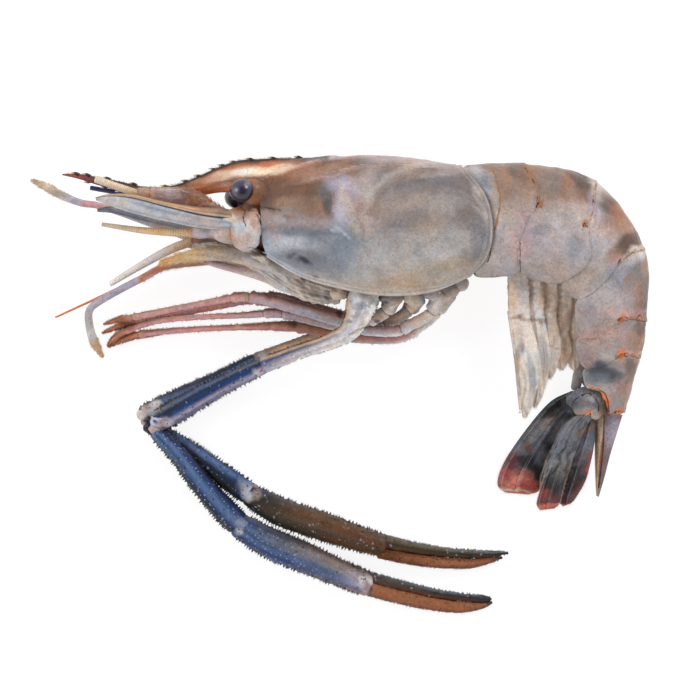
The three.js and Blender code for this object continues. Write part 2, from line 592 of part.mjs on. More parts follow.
function swimmingLeg(number, side) {
  const [topX, topY, jointX, jointY, middleX, middleY, tipX, tipY, half] = SWIMMING_LEGS[number];
  const z = SWIMMING_LEG_LAYERS[side][number];
  const stalk = limb([
    [topX, topY, z, half * 0.8, 0.7], [(topX + jointX) / 2, (topY + jointY) / 2, z, half * 0.9, 0.75],
    [jointX, jointY, z, half * 0.75, 0.7],
  ], { sides: 6 });
  const level = (x, y, part, thick) => [x - half * part, y, x + half * part, y, z, thick];
  const leaf = blade([
    level(jointX, jointY + 0.8, 0.7, 0.6), level(middleX, middleY, 1, 0.6),
    level(tipX, THREE.MathUtils.lerp(tipY, middleY, 0.3), 0.65, 0.45), level(tipX, tipY, 0.15, 0.3),
  ], { steps: 2, camber: 0, across: 2 });
  return joined(stalk, leaf);
}

// ---- tail fan ----
function telson() {
  return without(blade([
    [78.7, -5.2, 85.2, -9.2, 9.4, 3.2], [78.1, -14.6, 83.6, -14.4, 9, 2.8], [77.8, -21, 81.6, -21, 8.4, 2.2],
    [77.5, -28, 79.8, -28.2, 7.6, 1.5], [77.4, -33.4, 78.2, -33.8, 7, 0.5],
  ], { camber: 0, steps: 2 }), shellPiece(abdomen, 1 - 1 / SEGMENTS, 1, SEGMENT_STEPS, GAP));
}

const TAIL_BLADES = {
  uropod_left_outer: [
    [71.2, -9.2, 76.4, -9.4, 13.4, 0.7], [68.2, -12, 74.2, -12.8, 13, 0.8],
    [65.2, -18.1, 71.4, -19.3, 12, 0.8], [61.8, -27.6, 68.2, -28.3, 10.6, 0.7],
    [59.5, -35.2, 66.4, -35.4, 9.4, 0.5], [60.4, -37.7, 64.8, -37.2, 9.2, 0.3],
  ],
  uropod_left_inner: [
    [74.4, -9.8, 77.3, -10, 10.4, 0.7], [71.8, -15.2, 76.9, -16.7, 9.8, 0.8], [69, -21.6, 75.8, -23, 9, 0.8],
    [66.8, -29, 74, -29.3, 8, 0.7], [66, -34.6, 71.2, -34.2, 7, 0.5], [67.4, -36.6, 69.8, -35.8, 6.8, 0.3],
  ],
  uropod_right_inner: [
    [71, -9.2, 76.6, -9.8, 6.4, 0.7], [66.8, -13, 75, -15.4, 6.2, 0.8], [63.6, -20, 72, -22, 5.8, 0.8],
    [61, -27.4, 69.4, -29.4, 5, 0.7], [60.6, -32, 67, -34.2, 4.4, 0.4],
  ],
  uropod_right_outer: [
    [70.4, -1.8, 74.6, -7.4, 3, 0.7], [63.3, -5.6, 70.4, -13, 3, 0.8],
    [54.8, -15.8, 65.6, -21.2, 2.8, 0.8], [49.3, -24.6, 62.6, -27.6, 2.3, 0.8],
    [47.9, -30.2, 60.4, -32, 1.8, 0.5], [50.2, -32.6, 57.4, -33.2, 1.6, 0.3],
  ],
};

function uropodBase(side) {
  const z = side > 0 ? 14 : 5.8;
  return limb([
    [74.2, -2.1, z, 3, 1.4], [74.1, -4.6, z, 3.8, 1.5], [74.4, -7.6, z, 3.4, 1.2],
  ]);
}

// ---- colours and assembly ----
const FINISH = {
  shell: [0x8c8782, 0.35],
  underside: [0xb9b09e, 0.5],
  eye: [0x1d1a2a, 0.12],
  head: [0xc3b8b4, 0.4],
  antenna: [0xc9a877, 0.5],
  claw: [0x33507f, 0.4],
  finger: [0x6b4028, 0.75],
  claw_base: [0xc8c4cf, 0.38],
  leg: [0xa8706a, 0.45],
  first_leg: [0x8d8490, 0.5],
  swimming_leg: [0xc6b394, 0.4],
  tail_fan: [0x3f4552, 0.35],
};

const prawn = new THREE.Group();

function add(name, finish, geometry) {
  const [color, roughness] = FINISH[finish];
  const mesh = new THREE.Mesh(geometry, new THREE.MeshStandardMaterial({ color, roughness, metalness: 0 }));
  mesh.name = name;
  prawn.add(mesh);
}

const sides = { left: 1, right: -1 };

add('carapace', 'shell', carapace());
add('thorax_underside', 'underside', thoraxUnderside());
add('head', 'head', headBlock());
for (let k = 0; k < SEGMENTS; k++) {
  const segment = shellPiece(abdomen, k / SEGMENTS, (k + 1) / SEGMENTS, SEGMENT_STEPS);
  add(`abdomen_${k + 1}`, 'shell', restingOnFloor(segment));
}
add('telson', 'tail_fan', telson());
Object.entries(TAIL_BLADES).forEach(([name, rows]) => add(name, 'tail_fan', blade(rows, { steps: 2 })));
Object.entries(sides).forEach(([side, sign]) => {
  add(`uropod_${side}_base`, 'shell', uropodBase(sign));
  add(`eye_${side}`, 'eye', eye(sign));
  add(`antennal_scale_${side}`, 'head', antennalScale(sign));
  add(`antennule_${side}`, 'head', antennule(sign));
  add(`antenna_stem_${side}`, 'head', antennaStem(sign));
  for (let k = 0; k < SWIMMING_LEGS.length; k++) {
    add(`swimming_leg_${side}_${k + 1}`, 'swimming_leg', swimmingLeg(k, side));
  }
});
Object.entries(FLAGELLA).forEach(([name, rows]) => add(name, 'antenna', limb(rows, { sides: 6 })));
Object.entries(MOUTH_LEGS).forEach(([name, rows]) => add(name, 'first_leg', legOnThorax(rows)));
Object.entries(FIRST_LEGS).forEach(([name, rows]) => add(name, 'first_leg', legOnThorax(rows)));
Object.entries(WALKING_LEGS).forEach(([name, rows]) => add(name, 'leg', legOnThorax(rows)));
Object.entries({ left: CLAW_LEFT, right: CLAW_RIGHT }).forEach(([side, claw]) => {
  add(`claw_${side}_base`, 'claw_base', restingOnFloor(without(limb(claw.base, CLAW_SHAPE), thoraxCutter)));
  add(`claw_${side}_merus`, 'claw', restingOnFloor(limb(claw.merus, CLAW_SHAPE)));
  add(`claw_${side}_carpus`, 'claw', restingOnFloor(limb(claw.carpus, CLAW_SHAPE)));
  add(`claw_${side}_palm`, 'claw', restingOnFloor(clawPalm(claw)));
  add(`claw_${side}_dactyl`, 'finger', restingOnFloor(clawDactyl(claw)));
});

export default prawn;
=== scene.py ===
"""A raw giant river prawn that lies on its right side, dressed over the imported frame.

The tables are in millimetres and become metres where a mesh is made. The head points to -X, the back to
+Y and the left side up. On a limb's skin, "side" is 1 along the edge to the left of its way and -1 along
the other, and "up" is 1 on top.
"""
import math
import bpy
import numpy as np
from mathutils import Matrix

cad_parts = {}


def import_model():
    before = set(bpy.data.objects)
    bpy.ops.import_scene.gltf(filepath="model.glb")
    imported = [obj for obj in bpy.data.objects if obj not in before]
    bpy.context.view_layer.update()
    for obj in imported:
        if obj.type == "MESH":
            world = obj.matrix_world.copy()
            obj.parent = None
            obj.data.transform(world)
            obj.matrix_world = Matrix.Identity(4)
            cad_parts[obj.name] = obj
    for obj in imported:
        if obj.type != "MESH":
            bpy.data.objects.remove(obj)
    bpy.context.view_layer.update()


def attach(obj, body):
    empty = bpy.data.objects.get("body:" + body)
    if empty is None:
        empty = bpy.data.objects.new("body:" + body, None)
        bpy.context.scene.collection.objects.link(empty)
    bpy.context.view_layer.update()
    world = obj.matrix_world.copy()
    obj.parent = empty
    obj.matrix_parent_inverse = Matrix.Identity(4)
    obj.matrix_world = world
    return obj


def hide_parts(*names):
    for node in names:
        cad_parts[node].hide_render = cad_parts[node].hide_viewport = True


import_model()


# ---- driving sizes, as in the solids ----
MM = 0.001
MID_HEIGHT = 16.6
CARAPACE_HALF_WIDTH = 16.9
ABDOMEN_HALF_WIDTH = 15.4
ROSTRUM_HALF_WIDTH = 1.7
WIDEST_LEVEL = 0.42
CARAPACE_EDGE = 0.8
ABDOMEN_EDGE = 0.72
SEGMENTS = 6
EYE_OFFSET = 8.4
SHELL_THICKNESS = 0.6
FAR_AWAY = 9.0            # the distance given to a point that is far from every drawn line


# ---- camera ----
CAMERA_PLACE = (0.00345, 0.01035, 1.8)
CAMERA_LENS = 306.9
SENSOR = 36


def camera():
    data = bpy.data.cameras.new("camera")
    data.lens = CAMERA_LENS
    data.sensor_width = SENSOR
    data.clip_end = 10
    item = bpy.data.objects.new("camera", data)
    item.location = CAMERA_PLACE
    bpy.context.scene.collection.objects.link(item)
    bpy.context.scene.camera = item


camera()


# ---- colours, as seen on a screen from 0 to 255 ----
PALETTE = {
    "white": (232, 228, 226),
    "chalk": (205, 198, 196),
    "cream": (232, 212, 186),
    "bone": (206, 188, 168),
    "tan": (202, 166, 126),
    "sand": (172, 146, 120),
    "peach": (208, 148, 112),
    "ochre": (186, 128, 56),
    "orange": (228, 112, 10),
    "golden brown": (150, 98, 44),
    "amber": (150, 88, 42),
    "rust": (124, 60, 30),
    "red brown": (140, 70, 50),
    "brown": (112, 76, 56),
    "dark brown": (66, 44, 32),
    "umber": (88, 68, 56),
    "near black": (30, 25, 25),
    "taupe": (126, 108, 100),
    "grey brown": (146, 130, 122),
    "warm grey": (166, 153, 146),
    "rose grey": (174, 152, 148),
    "pink": (212, 150, 152),
    "mauve": (150, 110, 108),
    "plum": (92, 58, 66),
    "lilac": (166, 156, 174),
    "pale lilac": (190, 184, 196),
    "blue grey": (142, 148, 160),
    "pale blue": (180, 186, 198),
    "slate": (104, 108, 118),
    "smoke": (122, 122, 128),
    "green grey": (104, 110, 104),
    "blue": (78, 98, 142),
    "deep blue": (22, 50, 100),
    "navy": (14, 26, 50),
    "green blue": (70, 92, 98),
    "olive": (86, 60, 32),
    "dark olive": (62, 42, 18),
    "maroon": (96, 48, 52),
    "crimson": (156, 66, 62),
    "salmon": (206, 118, 98),
    "khaki": (152, 138, 108),
    "pink grey": (190, 176, 176),
    "mauve blue": (106, 100, 134),
    "royal": (8, 46, 98),
    "steel": (80, 108, 148),
    "slate blue": (80, 92, 126),
    "dark slate": (62, 60, 66),
    "clay": (158, 100, 68),
    "clay dark": (120, 64, 36),
    "amber dark": (98, 54, 20),
    "khaki green": (92, 78, 46),
    "black green": (34, 34, 26),
    "black blue": (20, 28, 44),
    "toffee": (150, 114, 90),
    "tan pink": (192, 156, 136),
    "light peach": (216, 184, 158),
    "ash": (112, 104, 103),
    "bark": (88, 66, 56),
    "grey sand": (170, 154, 140),
    "pearl": (178, 169, 164),
    "leg orange": (186, 110, 72),
    "plum grey": (84, 70, 78),
    "eye blue": (46, 40, 66),
    "straw": (228, 192, 146),
}


def linear(name):
    """The light that a palette colour stands for."""
    part = np.array(PALETTE[name], float) / 255
    return np.where(part <= 0.04045, part / 12.92, ((part + 0.055) / 1.055) ** 2.4)


def mixed(first, second, amount):
    return first + (second - first) * np.asarray(amount)[..., None]


def gradient(places, stops):
    """Colours at the places, between stops of (place, colour name)."""
    knots = [place for place, _ in stops]
    colours = np.array([linear(name) for _, name in stops])
    return np.stack([np.interp(places, knots, colours[:, k]) for k in range(3)], axis=-1)


# ---- curves and noise ----


def bent(before, here, ahead, beyond, rest):
    """The part between two knots of a smooth curve, at rest 0 to 1."""
    bend = 3 * (here - ahead) + beyond - before
    slope = 2 * before - 5 * here + 4 * ahead - beyond
    return here + 0.5 * rest * (ahead - before + rest * (slope + rest * bend))


def padded(points):
    return np.concatenate([[2 * points[0] - points[1]], points, [2 * points[-1] - points[-2]]])


def through(points, parts):
    """Points of the smooth curve through the given points, at parts 0 to 1 of the way."""
    points = np.asarray(points, float)
    place = np.asarray(parts, float) * (len(points) - 1)
    low = np.clip(np.floor(place).astype(int), 0, len(points) - 2)
    rest = (place - low).reshape(place.shape + (1,) * (points.ndim - 1))
    full = padded(points)
    return bent(full[low], full[low + 1], full[low + 2], full[low + 3], rest)


def through_each(knots, parts):
    """As through, but with knots of its own for every part: knots has one row per knot."""
    place = parts * (len(knots) - 1)
    low = np.clip(np.floor(place).astype(int), 0, len(knots) - 2)
    full = padded(knots)
    which = np.arange(len(parts))
    rest = (place - low)[:, None]
    return bent(full[low, which], full[low + 1, which], full[low + 2, which], full[low + 3, which], rest)


def smooth(low, high, values):
    part = np.clip((np.asarray(values, float) - low) / (high - low), 0, 1)
    return part * part * (3 - 2 * part)


def bell(values, width):
    return np.exp(-((np.asarray(values) / width) ** 2))


def unit(vectors):
    return vectors / np.maximum(np.linalg.norm(vectors, axis=-1, keepdims=True), 1e-9)


def ripple(places, size, seed):
    """Smooth noise from about -1 to 1 with features of the given size."""
    draw = np.random.default_rng(seed)
    total = np.zeros(places.shape[:-1])
    waves = 7
    for _ in range(waves):
        way = unit(draw.normal(size=places.shape[-1])) * 2 * math.pi / size * draw.uniform(0.6, 1.5)
        total += np.sin(places @ way + draw.uniform(0, 2 * math.pi))
    return total / math.sqrt(waves)


# ---- markings, drawn in plan ----


def line_distance(plan, points):
    """Distance in plan to a line through points."""
    points = np.array(points, float)
    if len(points) > 2:
        points = through(points, np.linspace(0, 1, 5 * len(points)))
    nearest = np.full(plan.shape[:-1], 1e9)
    for start, end in zip(points[:-1], points[1:]):
        way = end - start
        part = np.clip(((plan - start) @ way) / max(way @ way, 1e-9), 0, 1)
        nearest = np.minimum(nearest, np.linalg.norm(plan - start - part[..., None] * way, axis=-1))
    return nearest


def nearest_line(plan, *lines):
    distances = [line_distance(plan, line) for line in lines]
    return np.min(distances + [np.full(plan.shape[:-1], FAR_AWAY)], axis=0)


def ellipse(plan, centre, radii, turn=0):
    """How far a soft-edged ellipse, turned by degrees, covers each place."""
    angle = math.radians(turn)
    away = plan - np.array(centre)
    along = (away[..., 0] * math.cos(angle) + away[..., 1] * math.sin(angle)) / radii[0]
    across = (away[..., 1] * math.cos(angle) - away[..., 0] * math.sin(angle)) / radii[1]
    return smooth(1.5, 0.5, np.hypot(along, across))


def stroke(plan, half, *points):
    """How far a soft-edged stroke along a line covers each place."""
    return smooth(1.6 * half, 0.3 * half, line_distance(plan, points))


def painted(places, base, marks, waver=0.5, seed=3):
    """The base colours with the marks over them, whose edges waver a little.

    A mark is (colour, strength, centre, radii, turn) for an ellipse, where the turn may be left out, or
    (colour, strength, half width, point, point...) for a stroke.
    """
    drift = np.stack([ripple(places, 5, seed), ripple(places, 5, seed + 1)], axis=-1)
    fine = np.stack([ripple(places, 1.6, seed + 2), ripple(places, 1.6, seed + 3)], axis=-1)
    plan = places[..., :2] + waver * (drift + 0.4 * fine)
    colours = base if isinstance(base, np.ndarray) else np.broadcast_to(linear(base), places.shape)
    for colour, strength, first, *rest in marks:
        shape = ellipse if isinstance(first, tuple) else stroke
        colours = mixed(colours, linear(colour), strength * shape(plan, first, *rest))
    return colours


# ---- meshes ----


class Form:
    """Points in millimetres, faces, and the values that the points carry."""

    def __init__(self, places, faces, **values):
        self.places = np.asarray(places, float).reshape(-1, 3)
        self.faces = faces
        self.values = {name: np.asarray(value, float) for name, value in values.items()}

    def paint(self, colours):
        self.values["paint"] = colours
        return self


def with_lines(form, **kinds):
    """Draws thin lines on a form. Each kind has its lines in plan, or none."""
    for kind, lines in kinds.items():
        form.values[kind] = nearest_line(form.places[:, :2], *lines)
    return form


def grid_faces(rows, columns, closed):
    """Faces over a grid of points. On a closed grid the last column meets the first."""
    row, column = np.meshgrid(np.arange(rows - 1), np.arange(columns - (not closed)), indexing="ij")
    here = (row * columns + column).ravel()
    beside = (row * columns + (column + 1) % columns).ravel()
    return np.stack([here, beside, beside + columns, here + columns], axis=1).tolist()


def closed_form(rings, **values):
    """A closed skin over rows of rings, with a point in the middle of each end."""
    rows, columns = rings.shape[:2]
    places = np.concatenate([rings.reshape(-1, 3), rings[0].mean(axis=0)[None], rings[-1].mean(axis=0)[None]])
    faces = grid_faces(rows, columns, True)
    first, last = rows * columns, (rows - 1) * columns
    for k in range(columns):
        after = (k + 1) % columns
        faces.append([first, after, k])
        faces.append([first + 1, last + k, last + after])
    filled = {}
    for name, value in values.items():
        value = np.broadcast_to(value, (rows, columns))
        filled[name] = np.concatenate([value.ravel(), [value[0].mean(), value[-1].mean()]])
    return facing_out(Form(places, faces, **filled))


def facing_out(form):
    """Turns all faces over when they enclose a negative volume."""
    corners = np.array([
        [face[0], face[k], face[k + 1]] for face in form.faces for k in range(1, len(face) - 1)])
    a, b, c = (form.places[corners[:, k]] for k in range(3))
    if np.einsum("ij,ij->i", a, np.cross(b, c)).sum() < 0:
        form.faces = [face[::-1] for face in form.faces]
    return form


def grid_normals(grid):
    return unit(np.cross(np.gradient(grid, axis=0), np.gradient(grid, axis=1)))


def sheet_form(grid, normals, thickness, **values):
    """A thin shell: a grid of points and its copy moved in along the normals, closed around the rim."""
    rows, columns = grid.shape[:2]
    count = rows * columns
    places = np.concatenate([grid.reshape(-1, 3), (grid - normals * thickness).reshape(-1, 3)])
    outer = grid_faces(rows, columns, False)
    faces = outer + [[k + count for k in reversed(face)] for face in outer]
    index = np.arange(count).reshape(rows, columns)
    rim = np.concatenate([index[0, :-1], index[:-1, -1], index[-1, :0:-1], index[:0:-1, 0]])
    faces += [[b, a, a + count, b + count] for a, b in zip(rim.tolist(), np.roll(rim, -1).tolist())]
    double = {
        name: np.tile(np.broadcast_to(value, (rows, columns)).ravel(), 2) for name, value in values.items()}
    return facing_out(Form(places, faces, **double))


def joined(*forms):
    """Several forms as one. A value that a form lacks is zero there."""
    places, faces, first = [], [], 0
    shapes = {name: value.shape[1:] for form in forms for name, value in form.values.items()}
    values = {name: [] for name in shapes}
    for form in forms:
        places.append(form.places)
        faces += [[first + k for k in face] for face in form.faces]
        first += len(form.places)
        for name, shape in shapes.items():
            values[name].append(form.values.get(name, np.zeros((len(form.places),) + shape)))
    return Form(
        np.concatenate(places), faces, **{name: np.concatenate(parts) for name, parts in values.items()})


def store(mesh, name, values):
    """Keeps values at the mesh's points: single numbers, directions or colours."""
    if name == "paint":
        layer = mesh.attributes.new(name, "FLOAT_COLOR", "POINT")
        full = np.concatenate([values, np.ones((len(values), 1))], axis=1)
        layer.data.foreach_set("color", full.astype(np.float32).ravel())
    elif values.ndim == 2:
        layer = mesh.attributes.new(name, "FLOAT_VECTOR", "POINT")
        layer.data.foreach_set("vector", values.astype(np.float32).ravel())
    else:
        layer = mesh.attributes.new(name, "FLOAT", "POINT")
        layer.data.foreach_set("value", values.astype(np.float32))


def above_floor(heights):
    """Presses what would be under the floor flat on it, without folding it."""
    return 0.5 * (heights + np.sqrt(heights ** 2 + 0.09))


def mesh_object(name, form):
    mesh = bpy.data.meshes.new(name)
    places = form.places.copy()
    places[:, 2] = above_floor(places[:, 2])
    mesh.from_pydata((places * MM).tolist(), [], form.faces)
    for key, values in form.values.items():
        store(mesh, key, values)
    mesh.polygons.foreach_set("use_smooth", np.ones(len(mesh.polygons), bool))
    mesh.update()
    item = bpy.data.objects.new(name, mesh)
    bpy.context.scene.collection.objects.link(item)
    return item


def settled(item):
    """Makes the result of an object's modifiers its plain mesh."""
    graph = bpy.context.evaluated_depsgraph_get()
    graph.update()
    mesh = bpy.data.meshes.new_from_object(item.evaluated_get(graph))
    item.modifiers.clear()
    item.data = mesh
    mesh.name = item.name
    return item


def piece(name, form, material, slot, *replaced):
    """A finished piece of the prawn, which stands for the named solids."""
    item = mesh_object(name, form) if isinstance(form, Form) else form
    if not item.data.materials:
        item.data.materials.append(material)
    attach(item, "root")
    if replaced:
        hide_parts(*replaced)
    return item


# ---- limbs ----
DOME_ANGLES = np.radians([0, 25, 50, 70, 83])
LIMB_SAMPLES = np.linspace(0, 1, 200)


class Limb:
    """A round limb through stations of [x, y, z, half width in plan, half height]."""

    def __init__(self, stations, swell=None):
        self.stations = np.asarray(stations, float)
        self.swell = swell
        line = through(self.stations[:, :3], LIMB_SAMPLES)
        self.lengths = np.concatenate([[0], np.cumsum(np.linalg.norm(np.diff(line, axis=0), axis=1))])
        self.length = self.lengths[-1]

    def frame(self, parts):
        """Middle, radii, way, side and up at parts of the limb."""
        nudge = 0.004
        middle = through(self.stations[:, :3], parts)
        radii = np.maximum(through(self.stations[:, 3:5], parts), 0.08)
        if self.swell:
            radii = radii * self.swell(parts, self.travel(parts))[:, None]
        ahead = through(self.stations[:, :3], np.minimum(parts + nudge, 1))
        way = unit(ahead - through(self.stations[:, :3], np.maximum(parts - nudge, 0)))
        side = unit(np.cross([0, 0, 1], way))
        return middle, radii, way, side, np.cross(way, side)

    def travel(self, parts):
        return np.interp(parts, LIMB_SAMPLES, self.lengths)

    def skin(self, parts, angles, lift=0.0):
        """Points of the skin at pairs of part and angle, with the way out there."""
        middle, radii, _, side, up = self.frame(parts)
        cosine, sine = np.cos(angles)[:, None], np.sin(angles)[:, None]
        places = middle + side * radii[:, :1] * cosine + up * radii[:, 1:] * sine
        out = unit(side * cosine * radii[:, 1:] + up * sine * radii[:, :1])
        return places + lift * out, out

    def form(self, sides=16, step=0.7, dome=0.8, relief=None):
        """The limb's mesh, with rounded ends."""
        parts = np.linspace(0, 1, max(int(self.length / step), 6) + 1)
        middle, radii, way, side, up = self.frame(parts)
        rows = []
        for end, sign in ((0, -1), (-1, 1)):
            reach = sign * dome * radii[end].min()
            caps = [
                (middle[end] + way[end] * reach * math.sin(a), radii[end] * math.cos(a), end)
                for a in DOME_ANGLES]
            rows.append(caps[::sign])
        inner = [(middle[k], radii[k], k) for k in range(1, len(parts) - 1)]
        rows = rows[0] + inner + rows[1]
        middle, radii = (np.array([row[k] for row in rows]) for k in range(2))
        which = np.array([row[2] for row in rows]) % len(parts)
        angles = np.linspace(0, 2 * math.pi, sides, endpoint=False)
        cosine, sine = np.cos(angles)[None, :, None], np.sin(angles)[None, :, None]
        out = (
            side[which][:, None] * radii[:, None, :1] * cosine
            + up[which][:, None] * radii[:, None, 1:] * sine)
        rings = middle[:, None] + out
        part = np.repeat(parts[which][:, None], sides, axis=1)
        if relief is not None:
            rings = rings + unit(out) * relief(part, self.travel(part), angles[None], rings)[..., None]
        return closed_form(
            rings, part=part, along=self.travel(part), side=np.cos(angles)[None], up=np.sin(angles)[None])


def jointed(stations, joints, depth=0.16):
    """Widths of a limb that swells before each joint and is waisted after it. Joints count in stations."""
    places = Limb(stations).travel(np.array(joints) / (len(stations) - 1))

    def swell(part, travel):
        away = travel[..., None] - places
        return 1 + (0.7 * depth * bell(away + 0.9, 0.9) - depth * bell(away - 0.35, 0.4)).sum(axis=-1)

    return swell, places


def blade(stations, across=16, step=0.6, camber=0.6, relief=None, thin_edge=0.25):
    """A leaf through stations of [edge x, y, other edge x, y, height, half thickness]."""
    stations = np.asarray(stations, float)
    middle = (stations[:, 0:2] + stations[:, 2:4]) / 2
    length = np.linalg.norm(np.diff(middle, axis=0), axis=1).sum()
    parts = np.linspace(0, 1, max(int(length / step), 6) + 1)
    first, second = through(stations[:, 0:2], parts), through(stations[:, 2:4], parts)
    size = through(stations[:, 4:6], parts)
    width = np.linspace(0, 1, across + 1)
    arch = 4 * width * (1 - width)
    plan = first[:, None] + (second - first)[:, None] * width[None, :, None]
    level = size[:, :1] + camber * arch[None]
    thick = size[:, 1:] * (thin_edge + (1 - thin_edge) * arch[None])
    top, bottom = level + thick, level - thick
    if relief is not None:
        lift = relief(parts[:, None], width[None], plan) * arch[None] ** 0.3
        top, bottom = top + lift, bottom + 0.5 * lift
    upper = np.concatenate([plan, top[..., None]], axis=-1)
    lower = np.concatenate([plan, bottom[..., None]], axis=-1)[:, ::-1]
    both = np.concatenate([width, width[::-1]])
    return closed_form(np.concatenate([upper, lower], axis=1), part=parts[:, None], width=both[None])


def ball(centre, radii, rings=14, sides=20, lumps=0.0, lump_size=1.5, seed=1):
    """A rounded lump."""
    polar = np.linspace(0, math.pi, rings + 1)[1:-1]
    angle = np.linspace(0, 2 * math.pi, sides, endpoint=False)
    ways = np.stack([
        np.sin(polar)[:, None] * np.cos(angle)[None],
        np.sin(polar)[:, None] * np.sin(angle)[None],
        np.repeat(np.cos(polar)[:, None], sides, axis=1)], axis=-1)
    places = ways * np.array(radii) + np.array(centre)
    if lumps:
        places = places + ways * (lumps * ripple(places, lump_size, seed))[..., None]
    return closed_form(places, side=ways[..., 1], up=ways[..., 2], part=(ways[..., 0] + 1) / 2)


# ---- shader parts ----
MM_IN_METRE = 1000.0


class Nodes:
    """Adds nodes to a tree in few words. An input is a value or another node's socket."""

    def __init__(self, tree):
        self.tree = tree

    def add(self, kind, inputs=None, **settings):
        node = self.tree.nodes.new(kind if kind.startswith("NodeGroup") else "ShaderNode" + kind)
        for key, value in settings.items():
            setattr(node, key, value)
        for key, value in (inputs or {}).items():
            if isinstance(value, bpy.types.NodeSocket):
                self.tree.links.new(value, node.inputs[key])
            else:
                node.inputs[key].default_value = value
        return node

    def group(self, tree, inputs):
        return self.add("Group", inputs, node_tree=tree).outputs[0]

    def math(self, operation, first, second=0.5, third=0.5, clamp=False):
        inputs = {0: first, 1: second}
        if operation == "MULTIPLY_ADD":
            inputs[2] = third
        return self.add("Math", inputs, operation=operation, use_clamp=clamp).outputs[0]

    def scaled(self, vector, amount):
        return self.add("VectorMath", {0: vector, "Scale": amount}, operation="SCALE").outputs[0]

    def remap(self, value, low, high, to_low, to_high, kind="LINEAR"):
        inputs = {"Value": value, "From Min": low, "From Max": high, "To Min": to_low, "To Max": to_high}
        return self.add("MapRange", inputs, interpolation_type=kind).outputs["Result"]

    def blend(self, amount, first, second, kind="MIX"):
        node = self.add("Mix", data_type="RGBA", blend_type=kind, clamp_factor=True)
        for key, value in ((0, amount), (6, first), (7, second)):
            if isinstance(value, bpy.types.NodeSocket):
                self.tree.links.new(value, node.inputs[key])
            else:
                node.inputs[key].default_value = value
        return node.outputs[2]

    def attribute(self, name):
        return self.add("Attribute", attribute_name=name)

    def place(self, size, stretch=(1, 1, 1)):
        """The object's coordinates in units of a size in millimetres."""
        coords = self.add("TexCoord").outputs["Object"]
        if stretch != (1, 1, 1):
            coords = self.add("VectorMath", {0: coords, 1: stretch}, operation="MULTIPLY").outputs[0]
        return self.scaled(coords, self.math("DIVIDE", MM_IN_METRE, size))


def node_group(name, inputs, outputs):
    tree = bpy.data.node_groups.new(name, "ShaderNodeTree")
    for label, kind, default in inputs:
        socket = tree.interface.new_socket(name=label, in_out="INPUT", socket_type="NodeSocket" + kind)
        socket.default_value = default
    for label, kind in outputs:
        tree.interface.new_socket(name=label, in_out="OUTPUT", socket_type="NodeSocket" + kind)
    nodes = Nodes(tree)
    return nodes, nodes.add("NodeGroupInput").outputs, nodes.add("NodeGroupOutput").inputs


GREY = (0.5, 0.5, 0.5, 1)


def mottle_group():
    """Cloudy light and dark, with warm and cool drifts."""
    nodes, given, result = node_group("mottle", [
        ("Colour", "Color", GREY), ("Size", "Float", 3), ("Amount", "Float", 0.1), ("Warmth", "Float", 0.05),
    ], [("Colour", "Color")])
    cloud = nodes.add("TexNoise", {
        "Vector": nodes.place(given["Size"]), "Scale": 1, "Detail": 6, "Roughness": 0.68, "Distortion": 0.6})
    light = nodes.remap(cloud.outputs["Fac"], 0.3, 0.7, -1, 1)
    drift = nodes.add("TexNoise", {"Vector": nodes.place(given["Size"]), "Scale": 0.37, "Detail": 2})
    warm = nodes.math("MULTIPLY", nodes.remap(drift.outputs["Fac"], 0.3, 0.7, -1, 1), given["Warmth"])
    tint = nodes.add("CombineXYZ", {
        0: nodes.math("ADD", 1.0, warm), 1: 1, 2: nodes.math("SUBTRACT", 1.0, warm)}).outputs[0]
    lit = nodes.scaled(given["Colour"], nodes.math("MULTIPLY_ADD", light, given["Amount"], 1.0))
    nodes.tree.links.new(
        nodes.add("VectorMath", {0: lit, 1: tint}, operation="MULTIPLY").outputs[0], result[0])
    return nodes.tree


def speckle_group():
    """Small dots scattered over the colour, thicker in some places. Share is how many places have one."""
    nodes, given, result = node_group("speckle", [
        ("Colour", "Color", GREY), ("Dots", "Color", GREY), ("Size", "Float", 0.6), ("Share", "Float", 0.3),
        ("Strength", "Float", 0.4),
    ], [("Colour", "Color"), ("Mask", "Float")])
    wander = nodes.add("TexNoise", {"Vector": nodes.place(1.1), "Scale": 1, "Detail": 2}).outputs["Color"]
    place = nodes.add("VectorMath", {
        0: nodes.place(given["Size"]), 1: nodes.scaled(wander, 1.4),
    }, operation="ADD")
    cells = nodes.add("TexVoronoi", {"Vector": place.outputs[0], "Scale": 1, "Randomness": 1})
    chance = nodes.add("SeparateColor", {0: cells.outputs["Color"]}).outputs
    radius = nodes.math("MULTIPLY_ADD", chance[1], 0.28, 0.16)
    dot = nodes.remap(nodes.math("SUBTRACT", radius, cells.outputs["Distance"]), -0.12, 0.12, 0, 1)
    crowd = nodes.add("TexNoise", {"Vector": nodes.place(6), "Scale": 1, "Detail": 2}).outputs["Fac"]
    share = nodes.math("MULTIPLY", given["Share"], nodes.remap(crowd, 0.35, 0.65, 0.4, 1.7))
    there = nodes.math("MULTIPLY", dot, nodes.math("LESS_THAN", chance[0], share))
    strong = nodes.math("MULTIPLY", there, given["Strength"], clamp=True)
    nodes.tree.links.new(nodes.blend(strong, given["Colour"], given["Dots"]), result[0])
    nodes.tree.links.new(there, result[1])
    return nodes.tree


